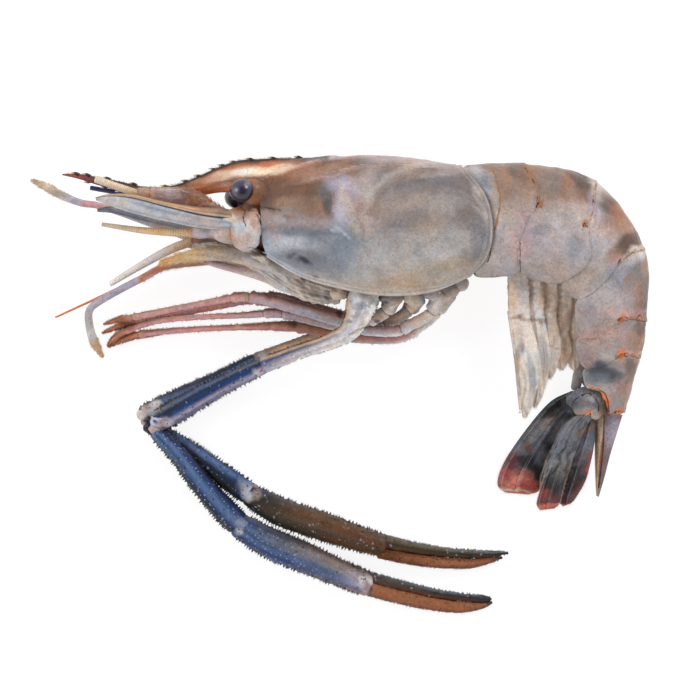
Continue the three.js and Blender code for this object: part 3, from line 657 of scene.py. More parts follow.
def line_group():
    """A thin line where a distance is small, broken up by Ragged."""
    nodes, given, result = node_group("line", [
        ("Colour", "Color", GREY), ("Line", "Color", GREY), ("Distance", "Float", 1), ("Half", "Float", 0.2),
        ("Strength", "Float", 1), ("Ragged", "Float", 0.3),
    ], [("Colour", "Color"), ("Mask", "Float")])
    noise = nodes.add("TexNoise", {"Vector": nodes.place(0.9), "Scale": 1, "Detail": 2})
    rough = nodes.math("MULTIPLY", nodes.remap(noise.outputs["Fac"], 0.3, 0.7, 0, 1), given["Ragged"])
    wide = nodes.math("MULTIPLY", given["Half"], nodes.math("SUBTRACT", 1.3, rough))
    near = nodes.math("SUBTRACT", 1.0, nodes.math("DIVIDE", given["Distance"], wide), clamp=True)
    mask = nodes.remap(near, 0.1, 0.6, 0, 1, "SMOOTHSTEP")
    strong = nodes.math("MULTIPLY", mask, given["Strength"], clamp=True)
    nodes.tree.links.new(nodes.blend(strong, given["Colour"], given["Line"]), result[0])
    nodes.tree.links.new(mask, result[1])
    return nodes.tree


def grain_group():
    """The relief of a wet skin: soft unevenness and fine grain. Height is in millimetres."""
    nodes, given, result = node_group("grain", [
        ("Size", "Float", 0.8), ("Height", "Float", 0.1), ("Extra", "Float", 0),
    ], [("Normal", "Vector")])
    soft = nodes.add("TexNoise", {
        "Vector": nodes.place(given["Size"]), "Scale": 1, "Detail": 3, "Roughness": 0.6})
    fine = nodes.add("TexVoronoi", {"Vector": nodes.place(given["Size"]), "Scale": 2.6, "Randomness": 1})
    height = nodes.math("MULTIPLY_ADD", fine.outputs["Distance"], 0.35, soft.outputs["Fac"])
    total = nodes.math("MULTIPLY_ADD", height, given["Height"], given["Extra"])
    bump = nodes.add("Bump", {"Height": total, "Distance": MM, "Strength": 1})
    nodes.tree.links.new(bump.outputs["Normal"], result[0])
    return nodes.tree


MOTTLE, SPECKLE, LINE, GRAIN = mottle_group(), speckle_group(), line_group(), grain_group()


def opaque(name):
    return tuple(linear(name)) + (1,)


def skin_material(
        name, roughness=0.4, coat=0.15, mottle=(3, 0.15, 0.06), dots=("umber", 0.5, 0.3, 0.3),
        grain=(0.8, 0.12), lines=()):
    """Wet shell or flesh. Its colour is the paint on the mesh, with clouds, dots and thin lines over it."""
    material = bpy.data.materials.new(name)
    material.use_nodes = True
    nodes = Nodes(material.node_tree)
    shader = material.node_tree.nodes["Principled BSDF"]
    colour = nodes.attribute("paint").outputs["Color"]
    size, amount, warmth = mottle
    colour = nodes.group(MOTTLE, {"Colour": colour, "Size": size, "Amount": amount, "Warmth": warmth})
    colour = nodes.group(MOTTLE, {"Colour": colour, "Size": size * 0.2, "Amount": amount, "Warmth": 0.05})
    dot_colour, dot_size, share, strength = dots
    colour = nodes.group(SPECKLE, {
        "Colour": colour, "Dots": opaque(dot_colour), "Size": dot_size, "Share": share, "Strength": strength})
    relief = 0.0
    for attribute, line_colour, half, strength, ragged, depth in lines:
        colour = nodes.group(LINE, {
            "Colour": colour, "Line": opaque(line_colour),
            "Distance": nodes.attribute(attribute).outputs["Fac"], "Half": half, "Strength": strength,
            "Ragged": ragged})
        relief = nodes.math("MULTIPLY_ADD", colour.node.outputs["Mask"], depth, relief)
    normal = nodes.group(GRAIN, {"Size": grain[0], "Height": grain[1], "Extra": relief})
    wet = nodes.add("TexNoise", {"Vector": nodes.place(2.2), "Scale": 1, "Detail": 3}).outputs["Fac"]
    links = material.node_tree.links
    links.new(colour, shader.inputs["Base Color"])
    links.new(nodes.remap(wet, 0.3, 0.7, roughness - 0.1, roughness + 0.14), shader.inputs["Roughness"])
    links.new(normal, shader.inputs["Normal"])
    shader.inputs["Specular IOR Level"].default_value = 0.3
    shader.inputs["Coat Weight"].default_value = coat
    shader.inputs["Coat Roughness"].default_value = 0.15
    return material


SHELL_SKIN = skin_material(
    "shell", roughness=0.4, coat=0.18, mottle=(4.5, 0.2, 0.09), dots=("umber", 0.42, 0.45, 0.42),
    grain=(1.1, 0.14),
    lines=[("pale", "chalk", 0.3, 0.3, 0.9, 0.03), ("dark", "near black", 0.3, 0.8, 0.6, -0.1),
           ("ochre", "golden brown", 0.5, 0.85, 0.7, 0.04)])
FLESH = skin_material(
    "flesh", roughness=0.5, coat=0.2, mottle=(2.2, 0.2, 0.08), dots=("umber", 0.6, 0.3, 0.4),
    grain=(0.9, 0.3))
HEAD_SKIN = skin_material(
    "head_skin", roughness=0.4, coat=0.2, mottle=(2.4, 0.2, 0.1), dots=("brown", 0.5, 0.3, 0.35),
    grain=(0.8, 0.16),
    lines=[("pale", "chalk", 0.3, 0.4, 0.7, 0.03), ("dark", "near black", 0.32, 0.85, 0.6, -0.1)])
CLAW_SKIN = skin_material(
    "claw_skin", roughness=0.45, coat=0.1, mottle=(2.6, 0.25, 0.06), dots=("pale blue", 0.9, 0.1, 0.45),
    grain=(0.6, 0.22), lines=[("dark", "near black", 0.3, 0.75, 0.6, -0.1)])
VELVET = skin_material(
    "velvet", roughness=0.8, coat=0, mottle=(1.4, 0.28, 0.08), dots=("tan", 0.4, 0.3, 0.3), grain=(0.4, 0.35),
    lines=[("dark", "near black", 0.3, 0.7, 0.6, -0.08)])
LEG_SKIN = skin_material(
    "leg_skin", roughness=0.45, coat=0.15, mottle=(1.8, 0.24, 0.1), dots=("plum", 0.45, 0.3, 0.4),
    grain=(0.6, 0.18),
    lines=[("pale", "pale lilac", 0.25, 0.3, 0.8, 0.02), ("dark", "dark brown", 0.25, 0.7, 0.6, -0.08)])
ANTENNA_SKIN = skin_material(
    "antenna_skin", roughness=0.5, coat=0.1, mottle=(1.6, 0.2, 0.1), dots=("amber", 0.4, 0.3, 0.4),
    grain=(0.4, 0.12))
LEAF_SKIN = skin_material(
    "leaf_skin", roughness=0.42, coat=0.15, mottle=(2.4, 0.2, 0.08), dots=("umber", 0.4, 0.2, 0.3),
    grain=(0.7, 0.16),
    lines=[("pale", "cream", 0.3, 0.45, 0.7, 0.06), ("dark", "umber", 0.28, 0.5, 0.7, -0.08)])
TAIL_SKIN = skin_material(
    "tail_skin", roughness=0.4, coat=0.2, mottle=(2.6, 0.28, 0.1), dots=("near black", 0.5, 0.35, 0.45),
    grain=(0.7, 0.2),
    lines=[("pale", "blue grey", 0.3, 0.4, 0.8, 0.04), ("dark", "near black", 0.3, 0.85, 0.5, -0.1),
           ("ochre", "bone", 0.3, 0.7, 0.6, 0.04)])
EYE_SKIN = skin_material(
    "eye", roughness=0.2, coat=0.6, mottle=(1.6, 0.3, 0.05), dots=("slate", 0.35, 0.3, 0.2),
    grain=(0.35, 0.02))
BRISTLE = skin_material(
    "bristle", roughness=0.55, coat=0.1, mottle=(1.2, 0.2, 0.06), dots=("umber", 0.5, 0.2, 0.2),
    grain=(0.3, 0.05))


# ---- bristles, spines and warts ----


def bristle_tree():
    """Puts a cone on every point, along its aim and as long as its reach, each a little longer or shorter."""
    tree = bpy.data.node_groups.new("bristles", "GeometryNodeTree")
    for label, kind in (("Points", "Geometry"), ("Sides", "Int"), ("Girth", "Float"), ("Tip", "Float"),
                        ("Unevenness", "Float"), ("Material", "Material")):
        tree.interface.new_socket(name=label, in_out="INPUT", socket_type="NodeSocket" + kind)
    tree.interface.new_socket(name="Bristles", in_out="OUTPUT", socket_type="NodeSocketGeometry")
    add, link = tree.nodes.new, tree.links.new
    given, result = add("NodeGroupInput").outputs, add("NodeGroupOutput").inputs
    cone = add("GeometryNodeMeshCone")
    cone.fill_type = "TRIANGLE_FAN"
    cone.inputs["Depth"].default_value = 1
    for name, socket in (("Vertices", "Sides"), ("Radius Bottom", "Girth"), ("Radius Top", "Tip")):
        link(given[socket], cone.inputs[name])
    aim, reach = (add("GeometryNodeInputNamedAttribute") for _ in range(2))
    aim.data_type = "FLOAT_VECTOR"
    aim.inputs["Name"].default_value = "aim"
    reach.inputs["Name"].default_value = "reach"
    turn = add("FunctionNodeAlignRotationToVector")
    turn.axis = "Z"
    link(aim.outputs["Attribute"], turn.inputs["Vector"])
    chance = add("FunctionNodeRandomValue")
    chance.inputs["Seed"].default_value = 8
    low, high = (add("ShaderNodeMath") for _ in range(2))
    for node, operation, socket in ((low, "SUBTRACT", 2), (high, "ADD", 3)):
        node.operation = operation
        node.inputs[0].default_value = 1
        link(given["Unevenness"], node.inputs[1])
        link(node.outputs[0], chance.inputs[socket])
    length = add("ShaderNodeMath")
    length.operation = "MULTIPLY"
    link(reach.outputs["Attribute"], length.inputs[0])
    link(chance.outputs[1], length.inputs[1])
    size = add("ShaderNodeCombineXYZ")
    size.inputs["X"].default_value = size.inputs["Y"].default_value = 1
    link(length.outputs[0], size.inputs["Z"])
    copies = add("GeometryNodeInstanceOnPoints")
    link(given["Points"], copies.inputs["Points"])
    link(cone.outputs["Mesh"], copies.inputs["Instance"])
    link(turn.outputs["Rotation"], copies.inputs["Rotation"])
    link(size.outputs[0], copies.inputs["Scale"])
    real = add("GeometryNodeRealizeInstances")
    link(copies.outputs["Instances"], real.inputs["Geometry"])
    finish = add("GeometryNodeSetMaterial")
    link(real.outputs["Geometry"], finish.inputs["Geometry"])
    link(given["Material"], finish.inputs["Material"])
    link(finish.outputs["Geometry"], result["Bristles"])
    return tree


BRISTLES = bristle_tree()


def scattered(roots, aims, reach, colours):
    """Roots of bristles. Reach is a length in millimetres, or one for each. Colours are light, not names."""
    roots = np.asarray(roots, float).reshape(-1, 3)
    form = Form(roots, [], aim=unit(np.asarray(aims, float).reshape(-1, 3)))
    form.values["reach"] = np.broadcast_to(np.asarray(reach, float) * MM, len(roots)).copy()
    return form.paint(np.broadcast_to(np.asarray(colours, float), roots.shape).copy())


def bristles(name, form, slot, girth=0.1, tip=0.02, sides=4, unevenness=0.35):
    """Grows the bristles of a form made by scattered() as one piece."""
    item = mesh_object(name, form)
    modifier = item.modifiers.new("bristles", "NODES")
    modifier.node_group = BRISTLES
    socket = {
        entry.name: entry.identifier for entry in BRISTLES.interface.items_tree if entry.in_out == "INPUT"}
    modifier[socket["Sides"]] = sides
    modifier[socket["Girth"]] = girth * MM
    modifier[socket["Tip"]] = tip * MM
    modifier[socket["Unevenness"]] = unevenness
    modifier[socket["Material"]] = BRISTLE
    return piece(name, settled(item), BRISTLE, slot)


def limb_bristles(limb, count, seed, reach, colours, lean=0.5, span=(0, 1), turns=(0, 360)):
    """Bristles scattered over a limb's skin, leaning towards its tip."""
    draw = np.random.default_rng(seed)
    parts = draw.uniform(*span, count)
    places, out = limb.skin(parts, np.radians(draw.uniform(*turns, count)), lift=-0.05)
    way = limb.frame(parts)[2]
    return scattered(places, out + lean * way, reach, colours)


def limb_rows(limb, rows, pitch, reach, colours, span=(0.04, 0.96), wobble=0.12, seed=5):
    """Bristles or warts in rows along a limb. A row is an angle in degrees, 0 at side 1 and 90 on top."""
    draw = np.random.default_rng(seed)
    count = max(int(limb.length * (span[1] - span[0]) / pitch), 2)
    forms = []
    for angle in rows:
        parts = np.clip(np.linspace(*span, count) + draw.uniform(-0.35, 0.35, count) / count, 0, 1)
        places, out = limb.skin(parts, np.radians(angle) + draw.normal(0, wobble, count), lift=-0.04)
        forms.append(scattered(places, out, reach, colours))
    return joined(*forms)


def rim_bristles(points, out, pitch, reach, colours, lean=(0, 0, 0), spread=0.15, seed=7):
    """Hairs along a line of points, out from it and leaning."""
    points = np.asarray(points, float)
    lengths = np.concatenate([[0], np.cumsum(np.linalg.norm(np.diff(points, axis=0), axis=1))])
    count = max(int(lengths[-1] / pitch), 2)
    travel = np.linspace(0, lengths[-1], count)
    draw = np.random.default_rng(seed)

    def pick(values):
        return np.stack([np.interp(travel, lengths, np.asarray(values)[:, k]) for k in range(3)], axis=-1)

    aims = pick(out) + np.array(lean) + draw.normal(0, spread, (count, 3))
    return scattered(pick(points), aims, reach, colours)


# ---- shells of the body ----
# A section runs from the lower edge to the back through five points. Beside it stand its half width as a
# part of the body's, the height of its middle plane and the sharpness of the back (0.5 round, 1 roof-like).
CARAPACE_SECTIONS = [
    ([[-21.1, 37.9], [-22.9, 44.9], [-23.2, 51.8], [-24.2, 58.8], [-28, 66.8]], 0.56, MID_HEIGHT, 1.2),
    ([[-11.5, 32.2], [-13.3, 40.4], [-13.9, 49.9], [-14.5, 59.5], [-15.8, 67.5]], 0.78, MID_HEIGHT, 0.8),
    ([[0.4, 28.5], [-1.3, 38.2], [-2.2, 48.8], [-2.5, 58.9], [-2.5, 68.2]], 0.93, MID_HEIGHT, 0.62),
    ([[13.9, 26.4], [13, 36.8], [12.4, 47.5], [12.2, 58.3], [12.2, 68.6]], 1, MID_HEIGHT, 0.52),
    ([[27.4, 27.4], [28.6, 37.4], [28.9, 47.5], [28.1, 57.8], [25.6, 67.3]], 1, MID_HEIGHT, 0.5),
    ([[39.4, 32.2], [44.2, 38.2], [45.8, 46.4], [43.9, 55.9], [36.8, 65.5]], 0.93, MID_HEIGHT, 0.5),
]
ABDOMEN_SECTIONS = [
    ([[40.2, 31.9], [45, 37.9], [46.6, 46.3], [44.7, 56.1], [37.7, 65.6]], 1, 16.2, 0.5),
    ([[53.9, 32.2], [53.9, 40.9], [57.1, 49.9], [59.2, 57.8], [55, 66.1]], 0.99, 15.5, 0.5),
    ([[65.2, 28.9], [74.2, 36.8], [74, 46.4], [75.8, 53.9], [76.6, 61]], 0.97, 14.9, 0.5),
    ([[70, 24.4], [76.6, 28.6], [81.8, 34.4], [86.5, 39.1], [91.5, 40.9]], 0.91, 14, 0.5),
    ([[70.3, 13.9], [77.5, 14.5], [82.3, 18.4], [86.8, 19.9], [92.2, 19.3]], 0.81, 12.6, 0.5),
    ([[72.5, 4.6], [78.5, 5.5], [82.3, 7.9], [86.2, 9.2], [90.5, 8.2]], 0.7, 11.2, 0.5),
    ([[73.6, -1.1], [77.5, -1.3], [79.6, -4.6], [81.5, -9.2], [86, -7.9]], 0.55, 9.6, 0.5),
]


class Body:
    """A shell through its sections. Turns run from -1, the right lower edge, over the back to 1, the left."""

    def __init__(self, sections, half_width, edge):
        self.lines = [np.array(section[0], float) for section in sections]
        self.values = np.array([section[1:] for section in sections], float)
        self.half_width = half_width
        self.edge = edge
        self.lowest = -math.asin(edge)

    def level_of(self, turns, lowest=None):
        """Level above the lower edge and width there, both as parts of the greatest."""
        lowest = self.lowest if lowest is None else lowest
        angle = math.pi / 2 - np.abs(turns) * (math.pi / 2 - lowest)
        above = WIDEST_LEVEL + (1 - WIDEST_LEVEL) * np.sin(angle)
        below = WIDEST_LEVEL * (1 + np.sin(angle) / self.edge)
        return np.where(angle > 0, above, below), np.cos(angle), angle > 0

    def points(self, parts, turns, lowest=None):
        """Points at arrays of part and turn, and their level."""
        parts, turns = np.broadcast_arrays(parts, turns)
        level, cosine, above = self.level_of(turns, lowest)
        knots = np.stack([through(line, level.ravel()) for line in self.lines])
        plan = through_each(knots, parts.ravel()).reshape(parts.shape + (2,))
        width, height, roof = np.moveaxis(through(self.values, parts), -1, 0)
        fullness = np.where(above, np.maximum(cosine, 0) ** (2 * roof), cosine)
        out = np.sign(turns) * fullness * width * self.half_width
        return np.concatenate([plan, (height + out)[..., None]], axis=-1), level

    def outward(self, grid, parts):
        """The way out of the shell at a grid of points."""
        normals = grid_normals(grid)
        middle = self.points(np.clip(parts, 0, 1), np.full(parts.shape, 0.5))[0]
        middle[..., 2] = grid[..., 2].mean()
        sign = np.sign(np.einsum("ijk,ijk->ij", normals, grid - middle).mean())
        return normals * (sign or 1)


THORAX = Body(CARAPACE_SECTIONS, CARAPACE_HALF_WIDTH, CARAPACE_EDGE)
ABDOMEN = Body(ABDOMEN_SECTIONS, ABDOMEN_HALF_WIDTH, ABDOMEN_EDGE)


# ---- carapace ----
CARAPACE_MARKS = [
    ("ash", 0.95, (31.9, 59.8), (11, 5.5), -8), ("ash", 0.9, (18.4, 60.8), (9, 3)),
    ("smoke", 0.5, (17.8, 59.2), (6, 2)), ("ash", 0.7, (37.9, 53.9), (5, 8), 30),
    ("warm grey", 0.6, (24.4, 62.5), (12, 1.2), 4), ("toffee", 0.35, (18.4, 65), (14, 1.6), 2),
    ("rose grey", 0.8, (13.9, 67.6), (10, 1.3)), ("rose grey", 0.8, (27.4, 66.1), (12, 1.6), -8),
    ("toffee", 0.85, (-11.5, 63.1), (16, 3.6), -2), ("clay", 0.5, (-16.1, 65), (9, 1.4), 2),
    ("light peach", 0.7, (-21.1, 64.6), (4.5, 1.3), 2), ("brown", 0.9, (-11.5, 58), (12, 2.4), 4),
    ("bark", 0.9, (-20.6, 56.5), (4, 5)), ("toffee", 0.8, (-13.9, 54.4), (7, 2)),
    ("grey brown", 0.6, (-14.5, 51.1), (8, 2)), ("toffee", 0.6, (-6.1, 51.8), (6, 3.4)),
    ("taupe", 0.8, (-1.1, 63.8), (10, 2.6), -4), ("bark", 0.75, (0.4, 66.5), (9, 1.2), 6),
    ("clay", 0.75, 1, (-22.9, 62.5), (-14.5, 64.3), (-5.5, 66.5)),
    ("clay", 0.5, 0.8, (-21.1, 60.8), (-11.5, 61.9), (-2.5, 65), (4, 67.3)),
    ("brown", 0.6, 0.8, (-19.9, 57.8), (-11.5, 58.9), (-2.5, 61.9), (5, 64.3)),
    ("clay", 0.5, 0.7, (-12.8, 60.1), (-5.5, 61.3), (1.9, 63.8)),
    ("rose grey", 0.7, 0.6, (-22.9, 61.3), (-16.1, 64), (-8.5, 66.1), (-1.1, 67.6), (6.5, 68.5)),
    ("rose grey", 0.5, 0.5, (-16.1, 59.5), (-5.5, 61.3), (3.4, 64), (12.4, 65.5)),
    ("dark brown", 0.9, 0.9, (-27.1, 67.3), (-19.1, 68), (-11.5, 68), (-4, 68.2)),
    ("amber", 0.6, 0.7, (-25.1, 66.1), (-17.6, 66.8), (-10, 67)), ("olive", 0.3, (-7.9, 53.5), (5, 3)),
    ("dark slate", 0.75, (-3.1, 54.4), (1.7, 4.4), 12), ("ash", 0.6, (-3.1, 57.8), (3, 3)),
    ("dark brown", 0.8, 0.45, (-25.3, 52.6), (-21.1, 52.6), (-16.9, 51.4)),
    ("clay", 0.9, (-14.5, 49.9), (2, 0.6)), ("dark brown", 0.5, (-15.8, 49.6), (1.4, 0.5)),
    ("rose grey", 0.5, 0.6, (-20.6, 49.9), (-14.5, 48.8), (-8.5, 48.4)),
    ("lilac", 0.9, (2.9, 57.8), (3.2, 6.5), 62), ("lilac", 0.9, (1.6, 51.8), (3, 6)),
    ("pale lilac", 0.6, (0.8, 50.5), (1.8, 4.6)), ("rose grey", 0.6, (8.2, 61.9), (4.6, 2), 30),
    ("pearl", 0.7, (11.8, 55.4), (4, 7), 60), ("rose grey", 0.6, (7.9, 49.4), (4, 6)),
    ("slate", 0.45, (14.8, 53.9), (3, 4), 60), ("smoke", 0.2, (22.9, 55.4), (10, 2.4), -6),
    ("pearl", 0.45, (27.4, 53.9), (10, 3.4)), ("slate", 0.3, (19.9, 48.8), (6, 3), 20),
    ("slate", 0.25, (30.4, 48.8), (8, 4), -30), ("slate", 0.25, (16.9, 45.8), (6, 3), 20),
    ("grey sand", 0.3, (24.4, 46.9), (7, 3), 20), ("pearl", 0.6, (33.4, 40.9), (9, 6)),
    ("chalk", 0.3, (34, 37.9), (8, 3)), ("pearl", 0.4, (22.9, 40.4), (8, 5)),
    ("smoke", 0.75, (42.4, 43.4), (3, 8), 10), ("smoke", 0.6, (39.4, 36.8), (4, 4)),
    ("grey sand", 0.8, (27.4, 32.5), (14, 3.4), 12), ("tan", 0.35, (19.9, 31.9), (5, 4), 55),
    ("khaki", 0.3, (30.4, 34.9), (9, 2), 14), ("pearl", 0.5, (18.4, 36.8), (9, 4)),
    ("pearl", 0.6, (6.5, 36.8), (9, 7)), ("blue grey", 0.95, (-13, 40.4), (15, 8)),
    ("blue grey", 0.85, (-2.5, 41.9), (8, 7)), ("pale blue", 0.85, (-16.9, 41.2), (6.5, 2.4)),
    ("pale blue", 0.5, (-10, 42.1), (4, 1.6)), ("slate", 0.8, (-11.5, 45.8), (11, 1.5), -3),
    ("slate", 0.5, (-16.1, 46.6), (5, 1.4)), ("slate", 0.5, (-6.1, 43.4), (4, 1.6), 20),
    ("slate", 0.5, (-11.5, 37.9), (7, 2.4), -10), ("rose grey", 0.5, (-11.5, 47.5), (9, 1)),
    ("slate", 0.45, (-5, 35.5), (9, 3), -14), ("green blue", 0.25, (1.9, 40.9), (6, 5)),
    ("rose grey", 0.4, (-19.1, 44.9), (2, 3)), ("navy", 0.9, (-10, 37), (2.1, 0.9), -22),
    ("navy", 0.6, (-13.9, 38.5), (1.6, 0.5), 24), ("navy", 0.7, (-7, 31.9), (0.9, 0.7)),
    ("pale blue", 0.8, 0.5, (-2.2, 46), (0.8, 45.8), (3.4, 43.4)),
    ("pale blue", 0.6, 0.5, (-23.2, 47.5), (-22.9, 41.9), (-21.1, 37.9), (-16.3, 34.4)),
    ("pearl", 0.6, 1.1, (8.2, 47.9), (8.2, 52.4), (10.7, 57.1), (15.4, 61.9), (22.9, 65), (31.9, 66.5)),
    ("taupe", 0.6, 1.6, (10.7, 50.9), (11.2, 54.1), (13.7, 58.3), (18.4, 61.9), (27.4, 63.8)),
    ("pearl", 0.8, 1.2, (0.4, 59.5), (1.9, 55.4), (3.4, 50.9), (5.2, 45.8)),
    ("chalk", 0.35, (42.4, 54.4), (1.4, 6), 22),
    ("toffee", 0.5, 1.2, (-11.5, 62.5), (-4, 63.8), (1.9, 66.1)),
    ("slate", 0.3, 1.6, (43.6, 53.9), (44.5, 47.9), (43.6, 41.9), (40.6, 36.8))]
# Paint that runs on from the rostrum's root over the front of the carapace.
ROOT_MARKS = [
    ("brown", 0.9, (-22.9, 59.5), (12, 3.4), -4), ("amber", 0.9, (-26.6, 63.8), (14, 3.6), 4),
    ("leg orange", 0.8, (-31, 65), (9, 1.5), 18), ("leg orange", 0.85, (-22.9, 65.8), (9, 1.3)),
    # The white spot over the cream patch is a painted highlight.
    ("cream", 1, (-24.8, 63.6), (8.4, 1.5), 4), ("white", 0.8, (-30.8, 63.1), (5, 0.8), 10),
    ("light peach", 0.8, (-16.3, 64.8), (4, 1.1), 4), ("brown", 0.85, (-29.5, 60.4), (14, 1.4), 4),
    ("bark", 0.7, (-22.9, 56.5), (4, 3))]
CARAPACE_DARK_LINES = [
    [(-29.5, 53.9), (-25.9, 53.5), (-24.1, 51.1), (-22.9, 47.5)],
    [(-25.1, 52.6), (-20.6, 52.4), (-16.9, 51.4)], [(39.4, 63.1), (42.4, 59.5), (44.9, 55.4), (46.6, 50.9)]]
CARAPACE_PALE_LINES = [
    [(-22.9, 61), (-16.1, 64), (-8.5, 66.5), (-1.1, 68)], [(-5.5, 62.5), (0.4, 63.8), (9.4, 66.1)],
    [(12.4, 65.2), (18.4, 65.5), (25.9, 65), (32.2, 65)],
    [(11.8, 59.2), (16.1, 62.5), (21.4, 64.3), (30.4, 65)], [(10, 53.9), (8.8, 50.5), (8.2, 46.4)],
    [(37.6, 65), (41.2, 60.1), (44.2, 54.4), (45.4, 48.8), (44.9, 42.1)],
    [
        (37, 65.2), (41.9, 60.8), (45.1, 54.4), (46.4, 47.9), (45.1, 40.9), (42.4, 35.2), (37, 30.8),
        (27.4, 27.8)]]


def carapace_relief(grid):
    """The swelling over the gills and the folds in front of it."""
    plan = grid[..., :2]
    gills = np.hypot((plan[..., 0] - 27) / 19.5, (plan[..., 1] - 44) / 16)
    groove = -0.55 * bell(gills - 1.0, 0.055) + 0.5 * smooth(1.05, 0.8, gills)
    front = -0.5 * bell(line_distance(plan, [(-22.9, 45.8), (-11.5, 46.6), (-1.1, 45.8), (4, 43)]), 1.1)
    fold = 0.4 * bell(line_distance(plan, [(-22.9, 60.8), (-11.5, 65), (-1.1, 68)]), 1.3)
    swell = 0.5 * bell(line_distance(plan, [(-19.9, 41.2), (-10, 41.2)]), 3.2)
    return groove + front + fold + swell + 0.12 * ripple(grid, 7, 21) + 0.05 * ripple(grid, 2.6, 22)


def margin_rim(distance):
    """Relief of a rim that follows a free edge at a distance from it."""
    return (
        0.22 * bell(distance - 0.5, 0.4) - 0.16 * bell(distance - 1.25, 0.35)
        + 0.1 * bell(distance - 1.9, 0.4))


def carapace():
    rows, columns = 150, 133
    turns = np.linspace(-1, 1, columns)[None]
    reach = np.linspace(0, 1, rows)[:, None]
    parts = reach * np.ones_like(turns)
    grid, level = THORAX.points(parts, turns)
    normals = THORAX.outward(grid, parts)
    low = np.linalg.norm(grid - grid[:, :1], axis=-1)
    low = np.minimum(low, np.linalg.norm(grid - grid[:, -1:], axis=-1))
    rear = np.linalg.norm(grid - grid[-1:], axis=-1)
    edge = np.minimum(low, rear)
    relief = carapace_relief(grid) * smooth(0, 3, edge) + margin_rim(edge)
    grid = grid + normals * relief[..., None]
    base = gradient(grid[..., 1], [
        (28, "grey sand"), (34, "pearl"), (42, "warm grey"), (50, "grey brown"), (57, "taupe"), (63, "ash"),
        (66, "taupe"), (68.5, "rose grey")])
    plan = grid[..., :2]
    form = sheet_form(
        grid, normals, SHELL_THICKNESS, dark=nearest_line(plan, *CARAPACE_DARK_LINES),
        pale=np.minimum(
            nearest_line(plan, *CARAPACE_PALE_LINES), np.minimum(np.abs(low - 0.5), np.abs(low - 1.9))),
        ochre=np.full(edge.shape, FAR_AWAY))
    colours = painted(grid, base, CARAPACE_MARKS + ROOT_MARKS, waver=0.3)
    crest = smooth(2.2, 0.6, line_distance(plan, [(-29.5, 67.3), (-20.6, 68), (-11.5, 68.2), (-4, 68.5)]))
    colours = mixed(colours, linear("near black"), 0.85 * crest)
    rims = (0.6 * bell(edge - 0.5, 0.35) + 0.45 * bell(edge - 1.9, 0.3)) * np.where(low < rear, 1, 0.3)
    colours = mixed(colours, linear("white"), rims)
    form.paint(np.tile(colours.reshape(-1, 3), (2, 1)))
    return form


# [x, upper edge y, lower edge y, part of the greatest half thickness]
ROSTRUM = [
    [-2, 68.1, 62, 0.8], [-8, 67.9, 60, 1], [-15, 67.7, 57, 1], [-22.9, 67.4, 55, 1], [-29.5, 67, 57.2, 1],
    [-35.5, 65.1, 57.4, 0.95], [-41.5, 62.4, 56.4, 0.95], [-47.5, 60, 55.9, 0.9], [-53.5, 58.8, 56.1, 0.85],
    [-59.5, 59.3, 56.5, 0.7], [-65.5, 60.7, 57.9, 0.6],
    [-71.5, 61.9, 59.5, 0.45], [-77.5, 62.9, 61.4, 0.35], [-82.6, 63, 62.6, 0.15],
]
BLADE_PROFILE = [(0, 0.14), (0.18, 0.4), (0.4, 0.62), (0.62, 1), (0.82, 0.75), (1, 0.24)]
ROSTRUM_MARKS = [
    ("light peach", 0.8, (-34.9, 62.2), (5, 1.4), 12), ("peach", 0.6, (-40, 61), (5, 1.0), 8),
    ("leg orange", 0.85, (-40, 58.3), (13, 1.4), 3), ("brown", 0.5, (-47.5, 57.4), (5, 1.6)),
    ("mauve", 0.8, (-53.5, 57.8), (8, 1.6)), ("peach", 0.5, (-59.5, 58.3), (6, 0.9), -10),
    ("crimson", 0.9, (-77, 62.2), (6, 1.6), -8), ("maroon", 0.8, (-68.5, 60.4), (9, 1.2), -10),
    ("dark brown", 0.7, (-59.5, 58.9), (9, 0.8), -8)]


def rostrum_edges(along):
    table = np.array(ROSTRUM)[::-1]
    return (np.interp(along, table[:, 0], table[:, k]) for k in (1, 2, 3))


def root_swell(along, heights):
    """How far the rostrum's root widens to meet the front of the carapace, at points of its side."""
    line, width, _, roof = CARAPACE_SECTIONS[0]
    levels = np.linspace(0, 1, 40)
    level = np.interp(heights, through(line, levels)[:, 1], levels)
    sine = np.clip((level - WIDEST_LEVEL) / (1 - WIDEST_LEVEL), 0, 1)
    full = CARAPACE_HALF_WIDTH * width * (1 - sine ** 2) ** roof
    return full * smooth(-41, -26.5, along) ** 1.6 * 0.97


def rostrum_blade():
    along = np.arange(-82.6, -16, 0.4)
    table = through(ROSTRUM[::-1], np.linspace(0, 1, 170))
    top, bottom, part = (np.interp(along, table[:, 0], table[:, k])[:, None] for k in (1, 2, 3))
    across = np.linspace(0, 1, 25)
    width = np.interp(across, *zip(*BLADE_PROFILE))[None] * part * ROSTRUM_HALF_WIDTH
    rows = top + (bottom - top) * across[None]
    width = width + root_swell(along[:, None], rows)
    plan = [np.broadcast_to(along[:, None], rows.shape), rows]
    left, right = (np.stack([*plan, MID_HEIGHT + sign * width], axis=-1) for sign in (1, -1))
    down = np.concatenate([across, across[::-1]])
    form = closed_form(np.concatenate([left, right[:, ::-1]], axis=1), down=down[None] * np.ones_like(top))
    base = gradient(form.values["down"], [
        (0, "near black"), (0.14, "dark brown"), (0.3, "brown"), (1, "brown")])
    form.paint(painted(form.places, base, ROOT_MARKS + ROSTRUM_MARKS, waver=0.25))
    crest = smooth(0.2, 0.04, form.values["down"])
    form.values["paint"] = mixed(form.values["paint"], linear("near black"), 0.9 * crest)
    return form


UPPER_TEETH = [-78.8, -75.5, -69.5, -61.6, -52, -46, -42.1, -37.6, -34.9, -31.6, -26.6, -19.9, -12.2]
LOWER_TEETH = [-75, -70, -65.5]


